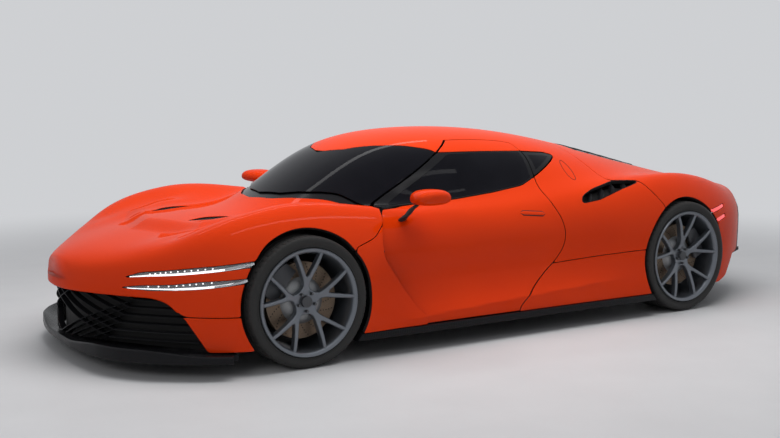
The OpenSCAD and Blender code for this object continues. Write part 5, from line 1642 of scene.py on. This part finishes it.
def paleFloor():
    mesh = bpy.data.meshes.new("paleFloor")
    reach = studio["reach"]
    mesh.from_pydata([(-reach, -reach, 0), (reach, -reach, 0), (reach, reach, 0), (-reach, reach, 0)], [],
                     [(0, 1, 2, 3)])
    mat = finishOf("paleFloor", lambda at: {"Base Color": at.noise(3, 4).between((0.60, 0.60, 0.61), studio["floor"]),
                                            "Roughness": at.noise(40, 2) * 0.1 + 0.5, "Specular IOR Level": 0.2})
    tree = mat.node_tree
    at = Shade(tree, tree.nodes["Texture Coordinate"].outputs["Object"])
    away = at.add("ShaderNodeVectorMath", {"operation": "LENGTH"}, {0: at}, 1)
    near, end = studio["fade"]
    far = at.add("ShaderNodeMapRange", {"interpolation_type": "SMOOTHSTEP"},
                 {"Value": away, "From Min": near, "From Max": end})
    glow = at.add("ShaderNodeEmission", None, {"Color": studio["back"], "Strength": 1.0})
    mixed = at.add("ShaderNodeMixShader", None, {0: far * seenRays(tree),
                                                 1: Shade(tree, tree.nodes["Principled BSDF"].outputs[0]), 2: glow})
    tree.links.new(mixed.socket, tree.nodes["Material Output"].inputs["Surface"])
    mesh.materials.append(mat)
    obj = bpy.data.objects.new("paleFloor", mesh)
    scene.collection.objects.link(obj)
    obj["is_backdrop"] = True


def studioWorld():
    world = bpy.data.worlds.new("studio")
    scene.world = world
    world.use_nodes = True
    tree = world.node_tree
    tree.nodes.clear()
    seen = seenRays(tree)
    soft = seen.add("ShaderNodeBackground", None, {"Color": (0.94, 0.96, 1.0), "Strength": studio["ambient"]})
    pale = seen.add("ShaderNodeBackground", None, {"Color": studio["back"], "Strength": 1.0})
    mixed = seen.add("ShaderNodeMixShader", None, {0: seen, 1: soft, 2: pale})
    end = tree.nodes.new("ShaderNodeOutputWorld")
    tree.links.new(mixed.socket, end.inputs["Surface"])


def softBox(name, spot, target, size, power, mirrored):
    light = bpy.data.lights.new(name, "AREA")
    light.shape = "RECTANGLE"
    light.size, light.size_y = size
    light.energy = power
    obj = bpy.data.objects.new(name, light)
    scene.collection.objects.link(obj)
    obj.location = spot
    obj.visible_glossy = mirrored
    obj.rotation_euler = (Vector(target) - Vector(spot)).to_track_quat("-Z", "Y").to_euler()


def photoCamera():
    c = math.cos(view["pitch"])
    ahead = np.array([math.sin(view["yaw"]) * c, -math.cos(view["yaw"]) * c, -math.sin(view["pitch"])])
    right = np.cross(ahead, [0, 0, 1])
    right /= np.linalg.norm(right)
    up = np.cross(right, ahead)
    camera = bpy.data.cameras.new("photoCamera")
    camera.sensor_width = 36
    camera.lens = view["lens"]
    camera.clip_end = 200
    obj = bpy.data.objects.new("photoCamera", camera)
    scene.collection.objects.link(obj)
    turn = np.stack([right, up, -ahead], 1).tolist()
    obj.matrix_world = Matrix([[*row, spot] for row, spot in zip(turn, view["spot"])] + [[0, 0, 0, 1]])
    scene.camera = obj


paleFloor()
studioWorld()
for name, settings in studio["lights"].items():
    softBox(name, *settings)
photoCamera()
scene.view_settings.view_transform = "Standard"
print("stage: studio")

asLists = lambda box: [[float(v) for v in corner] for corner in box]
{"cad": asLists(cadBox), "visual": asLists(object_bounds())}
